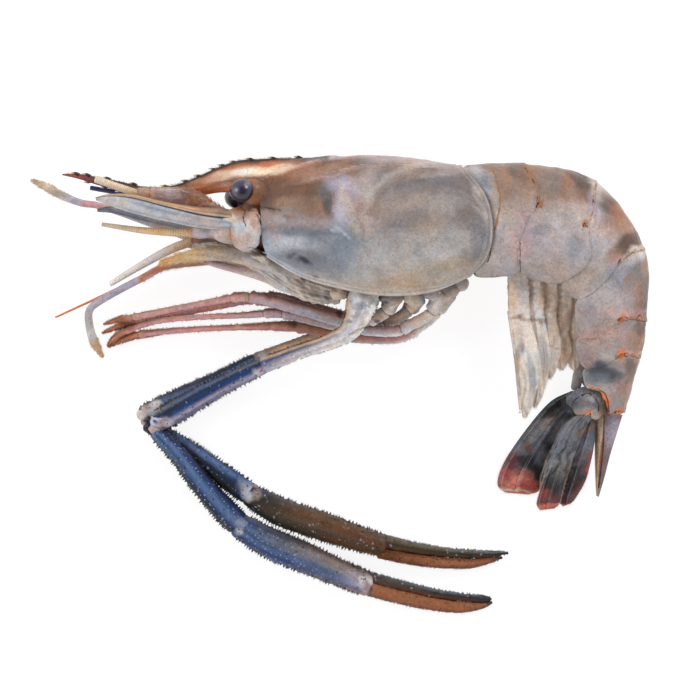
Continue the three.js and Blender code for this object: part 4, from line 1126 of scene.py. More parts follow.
def rostrum_tooth(place, upper):
    """A forward-leaning hooked tooth with a pale tip."""
    top, bottom, _ = rostrum_edges(place)
    start = float(top) - 0.5 if upper else float(bottom) + 0.5
    rise = 1 if upper else -0.7
    z = MID_HEIGHT
    tooth = Limb([
        [place + 1.1, start, z, 0.8, 0.42], [place + 0.4, start + 0.55 * rise, z, 0.62, 0.34],
        [place - 0.4, start + 0.85 * rise, z, 0.36, 0.24], [place - 1.3, start + 0.95 * rise, z, 0.1, 0.1],
    ]).form(sides=8, step=0.4, dome=0.3)
    return tooth.paint(gradient(tooth.values["part"], [
        (0, "near black"), (0.5, "dark brown"), (0.75, "bone"), (1, "cream")]))


def rostrum_hairs():
    """Short pale hairs between the upper teeth of the rostrum."""
    along = np.linspace(-81, -14, 120)
    top, _, _ = rostrum_edges(along)
    rim = np.column_stack([along, top - 0.2, np.full(len(along), MID_HEIGHT)])
    out = np.tile([-0.25, 1.0, 0.0], (len(rim), 1))
    pale = rim_bristles(rim, out, 0.5, 0.9, linear("tan"), lean=(-0.5, 0, 0), seed=121)
    dark = rim_bristles(rim, out, 0.35, 0.7, linear("near black"), lean=(-0.5, 0, 0), seed=122)
    return joined(pale, dark)


def rostrum():
    teeth = [rostrum_tooth(x, True) for x in UPPER_TEETH] + [rostrum_tooth(x, False) for x in LOWER_TEETH]
    return with_lines(joined(rostrum_blade(), *teeth), dark=(), pale=(), ochre=())


# ---- tail segments ----
ABDOMEN_MARKS = [
    ("blue grey", 0.8, (41.9, 58.9), (4.5, 6), 60), ("slate", 0.5, (42.4, 61.3), (2, 4), 60),
    ("chalk", 0.4, (40.6, 63.8), (3, 2)), ("sand", 0.6, (46.4, 55.4), (1.2, 7), 8),
    ("taupe", 0.9, (50.9, 61.9), (4, 6)), ("toffee", 0.8, (49.4, 59.8), (1.8, 6)),
    ("bark", 0.5, (53.2, 63.8), (3, 2.4)), ("toffee", 0.85, (56.5, 60.8), (2.4, 7), -15),
    ("bark", 0.5, (55.6, 62.5), (1.2, 4), -15), ("grey brown", 0.5, (52, 53.9), (6, 6)),
    ("pearl", 0.7, (49.4, 45.8), (6, 7)), ("tan pink", 0.3, (50.9, 41.9), (3, 4)),
    ("smoke", 0.44, (48.4, 36.1), (6, 4)), ("slate", 0.28, (52, 37.9), (3, 6)),
    ("toffee", 0.7, (62.8, 63.8), (6, 3), -8), ("taupe", 0.9, (64, 60.1), (7, 5), -10),
    ("clay", 0.7, (68.5, 60.8), (2.4, 4), -20), ("bark", 0.95, (73.3, 58.3), (2.8, 7), 12),
    ("bark", 0.7, (71.8, 62.5), (4, 2.4), -25), ("toffee", 0.6, (66.5, 54.8), (8, 4)),
    ("taupe", 0.5, (62.2, 54.8), (3, 5)), ("pearl", 0.8, (66.5, 48.8), (9, 5)),
    ("pink grey", 0.5, (65, 43.9), (8, 4)), ("slate", 0.33, (58.9, 40.9), (4, 5)),
    ("slate", 0.44, (68.5, 37.9), (5, 5), 30), ("ash", 0.39, (66.5, 33.8), (6, 3)),
    ("ash", 0.33, (62.8, 35.5), (5, 3)), ("smoke", 0.33, (57.4, 36.8), (4, 5)),
    ("chalk", 0.75, (78.5, 55.9), (2.4, 6), 20), ("lilac", 0.7, (76.6, 52.4), (2.2, 4), 20),
    ("bark", 0.95, (81.5, 53.5), (3, 5), 55), ("slate", 0.28, (79, 49.4), (3.6, 3)),
    ("clay", 0.75, (85, 51.1), (6, 3.4), 50), ("toffee", 0.7, (87.5, 47.5), (4, 3), 50),
    ("toffee", 0.4, (82, 47.5), (4, 3)), ("dark brown", 0.85, (88.3, 43.4), (5, 2.6), 28),
    ("bark", 0.9, (84.8, 41.5), (4, 2.6), 30), ("toffee", 0.7, (81.5, 38.5), (3, 2), 35),
    ("pink grey", 0.5, (77.8, 41.9), (5, 4), 30), ("pink", 0.4, (81.5, 36.1), (3, 1.6), 40),
    ("slate", 0.33, (74.8, 37.9), (3, 4)), ("grey brown", 0.33, (74, 30.1), (6, 4)),
    ("chalk", 0.85, (88.3, 38.5), (4.5, 2.2), 32), ("slate", 0.39, (85, 33.8), (7, 4), 20),
    ("blue grey", 0.39, (80.8, 31.9), (5, 3), 30), ("ash", 0.44, (90.8, 32.5), (2.4, 5), 85),
    ("toffee", 0.6, (86.8, 30.1), (2, 3)), ("slate", 0.28, (82, 27.8), (6, 3)),
    ("clay", 0.6, (89.5, 25.3), (1.8, 4)), ("bark", 0.8, (92, 26.6), (1.6, 6)),
    ("toffee", 0.6, (92.2, 35.9), (1, 4)), ("pearl", 0.6, (77, 25.3), (7, 3)),
    ("pink", 0.5, (82, 21.4), (9, 1.2)), ("mauve", 0.7, (90.5, 20.8), (3, 1.6)),
    ("slate", 0.44, (83.8, 17.2), (6, 2)), ("bark", 0.7, (90.5, 16.9), (2, 3)),
    ("smoke", 0.28, (75.5, 18.8), (5, 3)), ("slate", 0.19, (78.5, 19.9), (3, 2)),
    ("mauve", 0.55, (74.8, 14.2), (5, 2.6)), ("pink", 0.5, (79, 15.4), (7, 0.8), 12),
    ("toffee", 0.6, (87.5, 13), (2, 2.6)), ("slate", 0.33, (82, 11.8), (4, 2.4)),
    ("dark slate", 0.33, (73.3, 12.2), (0.9, 1.2)), ("mauve", 0.6, (74, 7.9), (4, 3)),
    ("pink", 0.6, (88, 9.4), (2.6, 0.6)), ("slate", 0.95, (79, 3.1), (6, 3.6)),
    ("navy", 0.6, (77.8, 4.6), (4, 1.6), -10), ("dark slate", 0.7, (82.6, 1.9), (2, 2.4)),
    ("bark", 0.7, (87.5, 4.3), (1.6, 4)), ("mauve", 0.7, (85.6, -1.1), (2, 5), 80),
    ("pearl", 0.5, (80.2, -0.4), (3, 2)), ("smoke", 0.33, (83, -5.2), (3, 3)),
    ("orange", 1, (84.5, 20.6), (1.15, 1.35)), ("orange", 0.8, (89.8, 20.2), (0.5, 0.7)),
    ("orange", 1, (84.5, 8.8), (1.25, 1.4)), ("orange", 0.95, (84.1, -7.6), (1.1, 1.2)),
    ("pink grey", 0.6, (49.4, 40.4), (6, 8)), ("pink grey", 0.6, (66.5, 40.4), (10, 9)),
    ("rose grey", 0.5, (57.4, 47.9), (4, 6)), ("pink grey", 0.5, (78.5, 25.3), (9, 5)),
    ("rose grey", 0.6, (78.5, 14.8), (8, 5)), ("pink", 0.25, (54.4, 43.4), (3, 8)),
    ("slate", 0.35, (60.4, 45.8), (3, 2)), ("slate", 0.35, (70.3, 41.5), (2, 4)),
    ("slate", 0.3, (47.9, 43.4), (2, 4)), ("slate", 0.35, (74.2, 22.3), (3, 2)),
    ("orange", 0.9, 0.5, (75.5, -1.3), (77.8, -1.6), (80, -3.8), (80.5, -7), (80.8, -8.8)),
    ("amber", 0.9, (59.5, 53.5), (1.1, 1.2)), ("amber", 0.9, (73, 47.2), (1, 1.2))]
ABDOMEN_DARK_LINES = [
    [(53.9, 42.4), (53.9, 37.9), (54.1, 32.5)], [(45.1, 40.4), (44.9, 38.2), (44.2, 36.4)],
    [(75.5, -1.9), (78.5, -1.9), (80.2, -4), (80.8, -8.8)], [(80.8, -9.2), (83.2, -7.9), (84.8, -8.2)],
    [(83.2, 19.3), (84.5, 20.2), (86, 19.9)], [(88.6, 19.6), (89.8, 20.8), (90.8, 19.9)],
    [(83, 7.9), (84.5, 9.2), (86, 8.2)], [(58.6, 52.4), (59.2, 54.1), (60.1, 52.6)],
    [(72.5, 46), (73, 48.1), (74, 46.4)],
]
ABDOMEN_OCHRE_LINES = [[(45.4, 66.1), (46.9, 61.3), (48.1, 55.4), (47.5, 50.9), (46.4, 45.8)]]


def lobe_low(reach, rounding):
    """How far the lower edge of a segment is raised towards its front and rear corner."""
    corner = np.clip((np.abs(2 * reach - 1) - 0.35) / 0.65, 0, 1)
    return rounding * (1 - np.sqrt(np.maximum(1 - corner ** 2, 0)))


def segment(number):
    """One tail segment: tucked under the one in front, its rear lip over the one behind."""
    rows, columns = 46, 101
    start, end = number / SEGMENTS, (number + 1) / SEGMENTS
    turns = np.linspace(-1, 1, columns)[None] * np.ones((rows, 1))
    reach = np.linspace(0, 1, rows)[:, None] * np.ones((1, columns))
    level = ABDOMEN.level_of(turns)[0]
    low_part = smooth(0.52, 0.4, level)
    over_front = low_part if number == 1 else 0 * level
    over_rear = low_part if number == 0 else 0 * level
    tuck = 0.016 * (1 - over_front) + 0.006 * over_front
    lip = 0.005 * (1 - over_rear) + 0.012 * over_rear
    parts = start - tuck + reach * (end + lip - start + tuck)
    if number == SEGMENTS - 1:
        parts = np.minimum(parts, 1)
    raised = turns * (1 - lobe_low(reach, 0.1))
    grid, level = ABDOMEN.points(parts, raised)
    normals = ABDOMEN.outward(grid, parts)
    front = np.linalg.norm(grid - grid[:1], axis=-1)
    rear = np.linalg.norm(grid - grid[-1:], axis=-1)
    low = np.minimum(
        np.linalg.norm(grid - grid[:, :1], axis=-1), np.linalg.norm(grid - grid[:, -1:], axis=-1))
    sink = -0.75 * (1 - over_front) * smooth(2.6, 0.6, front) + 0.3 * over_front * smooth(1.5, 0, front)
    sink = sink - 0.85 * over_rear * smooth(2.6, 0.6, rear) + 0.25 * (1 - over_rear) * smooth(2.2, 0, rear)
    relief = sink + 0.1 * ripple(grid, 6, 31 + number) + 0.04 * ripple(grid, 2.4, 41 + number)
    relief = relief + 0.6 * margin_rim(low)
    grid = grid + normals * relief[..., None]
    base = gradient(level, [
        (0, "warm grey"), (0.2, "pearl"), (0.42, "pearl"), (0.6, "rose grey"), (0.82, "grey brown"),
        (0.94, "toffee"), (1, "taupe")])
    plan = grid[..., :2]
    colours = painted(grid, base, ABDOMEN_MARKS)
    colours = mixed(
        colours, linear("chalk"),
        0.5 * smooth(2.4, 1.2, front) * (1 - over_front) * smooth(0.4, 0.6, level))
    colours = mixed(
        colours, linear("amber"),
        (0.35 if number < 4 else 0.08) * smooth(1.6, 0.3, rear) * (1 - over_rear)
        * smooth(0.45, 0.6, level))
    ochre = np.minimum(
        nearest_line(plan, *(ABDOMEN_OCHRE_LINES if number == 0 else [])),
        np.abs(rear - 0.35) + 0.3 * ripple(grid, 2.2, 48) + FAR_AWAY * smooth(0.5, 0.42, level))
    # The dark line along the rear lip is a painted shadow of the gap under the lip.
    beside = (
        np.abs(rear - 0.95) + 0.2 + 0.3 * ripple(grid, 1.5, 49) + FAR_AWAY * smooth(0.5, 0.42, level)
        + FAR_AWAY * over_rear)
    form = sheet_form(
        grid, normals, SHELL_THICKNESS, ochre=ochre,
        dark=np.minimum(nearest_line(plan, *ABDOMEN_DARK_LINES), beside), pale=np.abs(low - 0.6))
    form.paint(np.tile(colours.reshape(-1, 3), (2, 1)))
    return form


# ---- flesh inside the shells ----


def core(body, parts, inset, belly, colour_seed):
    """The flesh that fills a shell down to the belly level, inset from the shell."""
    parts = np.asarray(parts)[:, None]
    lowest = math.asin(max(-0.99, (belly / WIDEST_LEVEL - 1) * body.edge))
    turns = np.linspace(-1, 1, 41)[None]
    grid, _ = body.points(parts * np.ones_like(turns), turns * np.ones_like(parts), lowest=lowest)
    middle = grid.mean(axis=1, keepdims=True)
    away = grid - middle
    size = np.linalg.norm(away, axis=-1, keepdims=True)
    rings = middle + away * (1 - inset / np.maximum(size, 2 * inset))
    form = closed_form(rings)
    folds = 0.25 * ripple(form.places, 3, colour_seed)
    form.places[:, 2] += folds * smooth(0, 4, np.abs(form.places[:, 2] - MID_HEIGHT))
    base = np.broadcast_to(linear("bone"), form.places.shape)
    light = ripple(form.places, 6, colour_seed + 1)[:, None]
    return form.paint(np.clip(mixed(base, linear("warm grey"), 0.5 + 0.4 * light[:, 0]), 0, 1))


# ---- head ----


EYE_PLACES = {1: (-28.6, 57.8), -1: (-30.4, 56.2)}
ANTENNA_OFFSETS = {"base": 7.7, "stem": 3.6, "scale": 7.2, "peduncle": 3.5}


def eye(side):
    """A glossy eye on its stalk. The eye's centre stands over the side of the head."""
    middle = MID_HEIGHT + side * EYE_OFFSET
    x, y = EYE_PLACES[side]
    globe = ball([x, y, middle], [3.85, 3.5, 3.7], rings=22, sides=32)
    # The smoke spot left of the middle and the lilac spot to the upper right are painted reflections.
    globe.paint(painted(globe.places, "eye blue", [
        ("smoke", 0.5, (x - 1.9, y - 0.4), (1.1, 1.5)), ("near black", 0.7, (x + 0.4, y - 1.4), (2.4, 1.2)),
        ("lilac", 0.35, (x + 1.8, y + 1.6), (1.1, 0.7)),
    ], waver=0.3))
    return globe


def eye_stalk(side):
    middle = MID_HEIGHT + side * EYE_OFFSET
    x, y = EYE_PLACES[side]
    stalk = Limb([
        [-22.6, 55.6, MID_HEIGHT + side * 6.6, 3, 2], [-24.2, 56.6, MID_HEIGHT + side * 7.2, 3.9, 2.4],
        [-25.6, 57.2, MID_HEIGHT + side * 7.6, 4, 2.6], [x + 1.2, y - 0.2, middle - side * 1.4, 3.7, 3],
    ]).form(sides=24, step=0.4)
    return with_lines(stalk, dark=(), pale=()).paint(painted(stalk.places, "amber", [
        ("clay", 0.8, (-25.1, 60.4), (1.2, 2)), ("brown", 0.8, (-22.9, 57.8), (1.6, 5)),
        ("slate", 0.7, (-28.3, 53.9), (3, 1)), ("dark brown", 0.7, (-29.5, 54.4), (2.4, 0.8)),
    ], waver=0.3))


def head_core():
    form = Limb([
        [-21, 48.6, MID_HEIGHT, 9.6, 7.4], [-24.5, 48.4, MID_HEIGHT, 8.4, 6.8],
        [-27.6, 48, MID_HEIGHT, 6.4, 6], [-30, 48, MID_HEIGHT, 5.4, 5]]).form(sides=36, step=0.6, dome=0.3)
    return with_lines(form, dark=(), pale=()).paint(painted(form.places, "brown", [
        ("amber", 0.9, (-24.1, 57.8), (3, 5)), ("dark brown", 0.8, (-24.1, 38.9), (4, 2)),
        ("toffee", 0.7, (-27.1, 52.6), (4, 1)),
    ]))


BASICERITE_MARKS = [
    ("amber", 0.8, 0.9, (-32.5, 52.4), (-28.3, 53.2), (-24.4, 52.9)),
    ("near black", 0.85, 0.5, (-30.8, 51.4), (-27.8, 52.6), (-24.4, 51.8)),
    ("chalk", 0.9, (-26.6, 44.5), (3.4, 4)), ("toffee", 0.8, (-25.6, 52), (3.4, 1.2)),
    ("tan pink", 0.7, (-28.6, 43.4), (3, 2.4)), ("toffee", 0.85, (-30.1, 50.9), (4, 2)),
    ("amber", 0.8, (-28.6, 52.6), (3, 0.8)), ("cream", 0.7, (-31.9, 48.8), (2.4, 1.6)),
    ("orange", 0.7, (-31.9, 44.5), (0.7, 0.6)), ("orange", 0.6, (-28.3, 52.4), (0.9, 0.6)),
    ("near black", 0.85, (-26.6, 53.2), (2.4, 0.6)), ("tan pink", 0.8, (-24.8, 49.4), (1.6, 3)),
    ("pale blue", 0.5, (-29.5, 46.4), (2, 2)), ("sand", 0.6, (-32.9, 46.4), (2, 2)),
    ("grey brown", 0.5, (-31.9, 42.4), (2.4, 1.4))]
BASICERITE_LINES = [
    [(-27.8, 51.4), (-28.3, 49.6), (-27.4, 46.9)], [(-26.6, 52), (-24.4, 50.9), (-22.9, 47.5)],
    [(-27.4, 40.9), (-24.8, 40.6), (-22.9, 40.6)]]


def antenna_base(side):
    """The plated base of an antenna: a round lobe, a rear plate, an upper shelf and a part below."""
    middle = MID_HEIGHT + side * ANTENNA_OFFSETS["base"]
    lobe = ball([-27.6, 45.2, middle], [4.6, 5.6, 3.5], rings=22, sides=36, lumps=0.15, lump_size=5, seed=6)
    rear = ball([-25.6, 47.6, middle - side * 0.2], [3.3, 5, 3.2], rings=20, sides=30, lumps=0.2, lump_size=3)
    shelf = ball(
        [-30.6, 49.6, middle - side * 0.4], [4.4, 3, 2.8], rings=18, sides=28, lumps=0.3, lump_size=3.4)
    under = ball(
        [-32.4, 45.2, middle - side * 1.8], [5, 3.4, 2.4], rings=16, sides=28, lumps=0.12, lump_size=4)
    form = joined(lobe, rear, shelf, under)
    form.paint(painted(form.places, "pink grey", BASICERITE_MARKS, waver=0.35))
    return with_lines(form, dark=BASICERITE_LINES, pale=[
        [(-29.5, 47.9), (-30.8, 44.5), (-28.3, 41.5), (-24.8, 42.1)]])


def antenna_stem(side):
    """The stem blocks between an antenna's base and its whip."""
    z = MID_HEIGHT + side * ANTENNA_OFFSETS["stem"]
    y = 45.3 if side > 0 else 42.2
    swell = lambda part, travel: 1 + 0.1 * np.sin(travel * 1.1)
    form = Limb([
        [-29, y - 0.8, z + side * 2.2, 2.6, 2.6], [-33, y - 0.2, z + side * 1.2, 2.5, 2.4],
        [-37, y + 0.4, z, 2.3, 2.1], [-41, y + 0.4, z, 2.1, 1.8], [-44.6, y, z, 1.6, 1.5],
    ], swell).form(sides=24, step=0.4)
    marks = [
        ("pale lilac", 0.9, (-39.8, 45.8), (5, 2)), ("chalk", 0.7, (-42.8, 46.6), (2, 1.5)),
        ("ochre", 0.8, (-44.2, 46.9), (0.9, 2)), ("toffee", 0.8, (-39.1, 42.4), (6, 1.2)),
        ("ochre", 0.7, (-44.5, 43.4), (1.2, 2)), ("grey brown", 0.6, (-34, 43.9), (3, 2)),
        ("toffee", 0.6, (-37.4, 48.1), (5, 0.7)),
    ]
    return with_lines(form.paint(painted(form.places, "rose grey", marks, waver=0.3)),
                      dark=(), pale=[[(-43.9, 47.5), (-40, 45.4), (-34.9, 43.9)]])


def rib_edge(part):
    """Where the thick rib of a scale ends, as a part of the scale's width. It is broad at the root."""
    return np.interp(part, [0, 0.25, 0.5, 0.75, 1], [0.56, 0.44, 0.27, 0.18, 0.18])


def scale_relief(part, width, plan):
    """The thick outer rib of a scale and the fine pleats of its leaf."""
    inside = width / rib_edge(part)
    return 0.75 * bell(inside - 0.5, 0.42) - 0.25 * bell(inside - 1.08, 0.12) + 0.05 * np.sin(width * 60)


def antennal_scale(side):
    lift = 0 if side > 0 else -3.2
    z = MID_HEIGHT + side * ANTENNA_OFFSETS["scale"]
    form = blade([
        [-28.4, 50.8 + lift * 0.4, -29.4, 46.8 + lift * 0.4, z + side * 0.2, 1.2],
        [-33.4, 52.4 + lift * 0.4, -33.4, 46.2 + lift * 0.4, z + side * 0.3, 1],
        [-41.5, 53 + lift * 0.4, -40.6, 46.6 + lift * 0.4, z + side * 0.4, 0.9],
        [-50.5, 54.4 + lift * 0.6, -50, 48.4 + lift * 0.5, z, 0.8],
        [-60.8, 56.7 + lift, -60.2, 50.8 + lift * 0.5, z - side * 0.8, 0.7],
        [-68, 56.9 + lift, -67.6, 53.2 + lift * 0.6, z - side * 1.6, 0.55],
        [-72.4, 55.9 + lift, -72.2, 54.9 + lift, z - side * 2, 0.3],
    ], across=34, step=0.5, camber=side * 0.9, relief=scale_relief)
    width, part = form.values["width"], form.values["part"]
    inside = width / rib_edge(part)
    # The light peach stop near the rib's outer edge is a painted highlight along the rib.
    rib = gradient(inside, [
        (0, "brown"), (0.15, "toffee"), (0.4, "tan"), (0.55, "toffee"), (0.75, "light peach"),
        (0.88, "toffee"), (0.96, "near black"), (1.1, "umber")])
    leaf = gradient((width - rib_edge(part)) / (1 - rib_edge(part)), [
        (0, "slate"), (0.12, "pale blue"), (0.35, "blue grey"), (0.6, "pale blue"), (0.85, "blue grey"),
        (1, "chalk")])
    base = mixed(rib, leaf, smooth(1.02, 1.12, inside))
    form.paint(painted(form.places, base, [
        ("chalk", 0.7, (-66.1, 54.4), (6, 1.6), -14), ("chalk", 0.5, (-58, 51.8), (7, 0.9), -18),
        ("pink grey", 0.7, (-40, 48.4), (7, 1.4), -10), ("chalk", 0.5, (-47.5, 49.6), (4, 1)),
        ("blue", 0.4, (-64, 51.1), (7, 0.6), -14), ("toffee", 0.7, (-37.9, 52), (5, 0.9)),
        ("umber", 0.5, (-34, 51.1), (3, 1)),
    ], waver=0.15))
    form.values["dark"] = np.abs(inside - 1.02) * 4 + 0.1
    # The pale line along the rib is a painted highlight too.
    form.values["pale"] = np.abs(inside - 0.8) * 5
    return form


PEDUNCLE = [
    [-29, 49.8, 2.2, 1.1, 1.5], [-34, 51.4, 1.1, 1.1, 1.5], [-38, 53.2, 0.4, 1.5, 1.7],
    [-41.5, 55.2, 0.1, 2.1, 1.9], [-44.6, 56.3, 0, 2.2, 1.9], [-50, 56.7, 0, 2.2, 1.8],
    [-55, 56.9, 0, 1.95, 1.6], [-56.6, 57, 0, 1.65, 1.45], [-59.4, 57.3, 0, 1.6, 1.35]]


def peduncle_stations(side):
    middle = MID_HEIGHT + side * ANTENNA_OFFSETS["peduncle"]
    drop = 0 if side > 0 else -0.6
    return [[x, y + drop, middle + side * out, *radii] for x, y, out, *radii in PEDUNCLE]


def antennule(side):
    """The three stout joints that carry the small feelers."""
    stations = peduncle_stations(side)
    swell, joints = jointed(stations, [4.1, 6.5], depth=0.12)
    rough = lambda part, travel, angles, rings: 0.08 * ripple(rings, 1.6, 55)
    form = Limb(stations, swell).form(sides=24, step=0.35, relief=rough)
    marks = [
        ("tan pink", 0.9, (-57.1, 57.1), (2.6, 2.2)), ("orange", 0.3, (-56.5, 56.5), (1.6, 1)),
        ("rose grey", 0.8, (-49.9, 56.5), (5, 1.4)), ("toffee", 0.7, (-48.8, 58.3), (6, 0.8)),
        ("brown", 0.8, (-45.1, 57.4), (2, 2)), ("toffee", 0.7, (-40.9, 55.6), (4, 1.4)),
        ("umber", 0.6, (-39.8, 56.9), (3, 1)), ("pink grey", 0.6, (-52, 57.8), (3, 0.6)),
        ("tan pink", 0.5, (-37, 53.9), (4, 1)), ("ochre", 0.5, (-43, 54.4), (2, 0.8)),
    ]
    form.paint(painted(form.places, "mauve", marks, waver=0.35))
    form.values["dark"] = np.abs(form.values["along"][:, None] - joints - 0.3).min(axis=1) * 2 + 0.12
    return with_lines(form, pale=[[(-56.5, 58.3), (-49, 58.3), (-43, 56.9)]])


def ringed(pitch, depth):
    """The rings along a feeler."""
    return lambda part, travel: 1 + depth * np.sin(travel * 2 * math.pi / pitch)


FLAGELLA = {
    "antenna_flagellum_left": ([
        [-44, 45.3, 20.4, 1.3, 1.3], [-50.5, 45.5, 19.6, 1.2, 1.2], [-59.5, 46.2, 18, 0.95, 0.95],
        [-70.6, 47.9, 15.6, 0.6, 0.6]], ("straw", "straw", "bone")),
    "antenna_flagellum_right": ([
        [-44, 42.8, 13.2, 1.4, 1.4], [-50.5, 40.4, 12.6, 1.35, 1.35], [-59.5, 35.5, 11.4, 1.1, 1.1],
        [-68.5, 30.1, 9.6, 0.75, 0.75]], ("straw", "white", "white")),
    "antennule_flagellum_left": ([
        [-59.6, 56.9, 20.1, 1.15, 1.1], [-66, 59.1, 19.8, 1.1, 1.1], [-72.3, 61.3, 19.4, 1.1, 1.1]],
        ("tan", "cream", "cream")),
    "antennule_flagellum_right": ([
        [-59.6, 56.2, 13, 0.7, 0.7], [-67, 57.6, 15.4, 0.75, 0.75], [-74, 58.8, 16.6, 0.7, 0.7]],
        ("slate blue", "royal", "deep blue")),
    "thin_flagellum_right": ([
        [-47, 37.6, 9.6, 0.55, 0.55], [-59.5, 32, 8.6, 0.45, 0.45], [-72.5, 26, 5, 0.4, 0.4],
        [-85.3, 20.2, 1.6, 0.28, 0.28]], ("bone", "peach", "orange")),
}


def flagellum(name):
    stations, (root, middle, tip) = FLAGELLA[name]
    pitch = 0.75 if "antenna" in name else 0.6
    limb = Limb(stations, ringed(pitch, 0.06 if name == "antenna_flagellum_left" else 0.035))
    form = limb.form(sides=14, step=0.16, dome=0.4)
    base = gradient(form.values["part"], [(0, root), (0.45, middle), (1, tip)])
    ring = np.sin(form.values["along"] * 2 * math.pi / pitch)
    edge = np.abs(form.values["side"])
    base = mixed(base, linear("amber"), 0.25 * smooth(0, -1, ring) + 0.3 * smooth(0.7, 1, edge))
    return form.paint(np.clip(base, 0, 1))


# ---- mouth legs and first walking legs ----
MOUTH_LEGS = {
    "maxilliped_left": [
        [-11.5, 33, 18.9, 2.3, 1.8], [-22.9, 36.8, 19.4, 2.6, 1.9], [-32.5, 39, 19.6, 2.4, 1.8],
        [-41.5, 38.9, 19.2, 1.9, 1.4], [-48, 37.7, 18.8, 1.2, 0.9], [-53.5, 36.2, 18.2, 0.4, 0.4],
    ],
    "maxilliped_right": [
        [-11.5, 32.8, 13.6, 1.9, 1.3], [-22.9, 36, 13.4, 2, 1.4], [-34.5, 37.6, 12.6, 1.9, 1.4],
        [-45.5, 36.4, 12.2, 1.2, 0.9], [-53.5, 34.7, 11.6, 0.8, 0.6], [-58.9, 31.2, 10.8, 0.35, 0.35],
    ],
}
FIRST_LEGS = {
    "first_leg_left": [
        [-3, 28.2, 17.4, 1.9, 1.4], [-11.5, 28.4, 16.4, 1.8, 1.2], [-17, 29.9, 15.9, 1.85, 1.2],
        [-22, 32.2, 15.7, 1.6, 1.1], [-34, 35.3, 15.7, 1.1, 0.95], [-46, 37.8, 15.6, 1.1, 0.95],
        [-59.5, 31.5, 13.2, 1.1, 0.95],
        [-71.5, 25.1, 8, 1.1, 0.95], [-75, 21.8, 6, 1.15, 0.95], [-74.6, 16, 4.4, 1.3, 1],
        [-73.2, 12, 3, 1.3, 0.9], [-71, 8.2, 1.8, 0.35, 0.35],
    ],
    "first_leg_right": [
        [-3, 27.8, 12.4, 1.6, 1.3], [-12, 30.2, 8.6, 1.3, 1.1], [-24, 35.5, 7.4, 1.2, 1],
        [-46, 44.4, 6.6, 1.1, 0.95], [-69.5, 53, 5.4, 1.05, 0.9], [-77.5, 54.6, 4.6, 1.1, 0.95],
        [-83.5, 57, 3.6, 1.25, 1], [-88, 59.4, 2.8, 1.2, 0.9], [-92.6, 61.6, 2, 0.35, 0.35],
    ],
}
LIMB_MARKS = [
    ("straw", 0.8, 1.8, (-42.8, 39.8), (-48.1, 37.9), (-53.5, 35.9)),
    ("ochre", 0.6, (-49.9, 37.4), (4, 1), 20), ("tan", 0.7, (-41.5, 39.8), (5, 1.6)),
    ("umber", 0.4, (-37, 40.4), (6, 0.6)), ("taupe", 0.5, (-37, 38.2), (6, 0.8), -6),
    ("slate", 0.4, (-28.1, 37.9), (6, 1), -14), ("chalk", 0.4, (-22.9, 34.9), (6, 0.8), -24),
    ("clay", 0.7, 0.9, (-39.8, 36.1), (-47.5, 35.2), (-53.5, 34.4)),
    ("leg orange", 0.9, 1, (-52, 35.2), (-56.5, 33.4), (-58.9, 31)),
    ("dark brown", 0.5, (-25.1, 39.1), (3, 0.8), -20), ("slate", 0.4, (-16.1, 32.9), (5, 0.8), -28),
    ("bone", 0.8, (-19.9, 30.4), (6, 2)), ("chalk", 0.6, (-14.5, 28.6), (5, 1.4), -20),
    ("pink", 0.35, (-22.9, 32.5), (1.6, 1.6)), ("tan", 0.8, (-72.8, 9.8), (3, 3.5)),
    ("chalk", 0.7, (-74.5, 17.8), (2, 4)), ("green grey", 0.3, (-75.1, 19.9), (1.6, 3)),
    ("bone", 0.9, (-86.5, 58.6), (5, 3)), ("tan", 0.6, (-91, 60.8), (3, 2)),
    ("pink", 0.8, (-73.6, 54.1), (4.5, 1.3)), ("mauve", 0.3, (-71.5, 53.5), (3, 0.7)),
    ("green grey", 0.4, (-83.5, 57.4), (3, 1.2)), ("pink", 0.35, (-33.1, 34.9), (6, 1), -8)]
# The flat parts of the mouth between the front of the carapace and the small legs.
MOUTH_PLATES = [
    ([(1.9, 26.6), (-5, 28.3), (-11.5, 30.4), (-17.6, 33.8), (-22.3, 37.9)], 19.6, (1, 1.7, 1.9, 1.7, 1)),
    ([(-0.1, 25.3), (-6.8, 26.2), (-13.3, 28.9), (-19.9, 33.1), (-26.6, 36.8), (-33.1, 38.5)],
     18, (1.2, 1.9, 2, 1.7, 1.3, 0.6)),
    ([(-11.5, 28.3), (-17.6, 30.8), (-22.9, 34.4), (-28.3, 37.4), (-36.1, 39.8), (-42.8, 40.4)],
     16.6, (1.4, 1.8, 1.8, 1.6, 1.3, 0.6)),
    ([(-21.1, 36.8), (-24.8, 39.1), (-27.8, 40.6), (-30.8, 41.2)], 21.4, (1.1, 1.5, 1.3, 0.6)),
    ([(-24.1, 38.5), (-30.1, 40), (-37.4, 41.2), (-43.4, 41.5)], 19, (1.3, 1.5, 1.3, 0.6))]
PLATE_MARKS = [
    ("dark brown", 0.85, (-23.6, 39.1), (3, 1)), ("slate", 0.6, (-11.5, 29.5), (6, 0.8), -25),
    ("chalk", 0.6, (-16.1, 31.6), (4, 0.8), -30), ("taupe", 0.6, (-5.5, 26.8), (5, 1), -12),
    ("slate", 0.4, (-1.6, 27.1), (3, 1)), ("sand", 0.6, (-32.5, 39.8), (5, 1)),
    ("ochre", 0.3, (-8.5, 28.3), (3, 0.8)), ("umber", 0.5, (-29.5, 40), (5, 0.5), -10),
    ("near black", 0.5, (1.9, 25.3), (1, 1))]


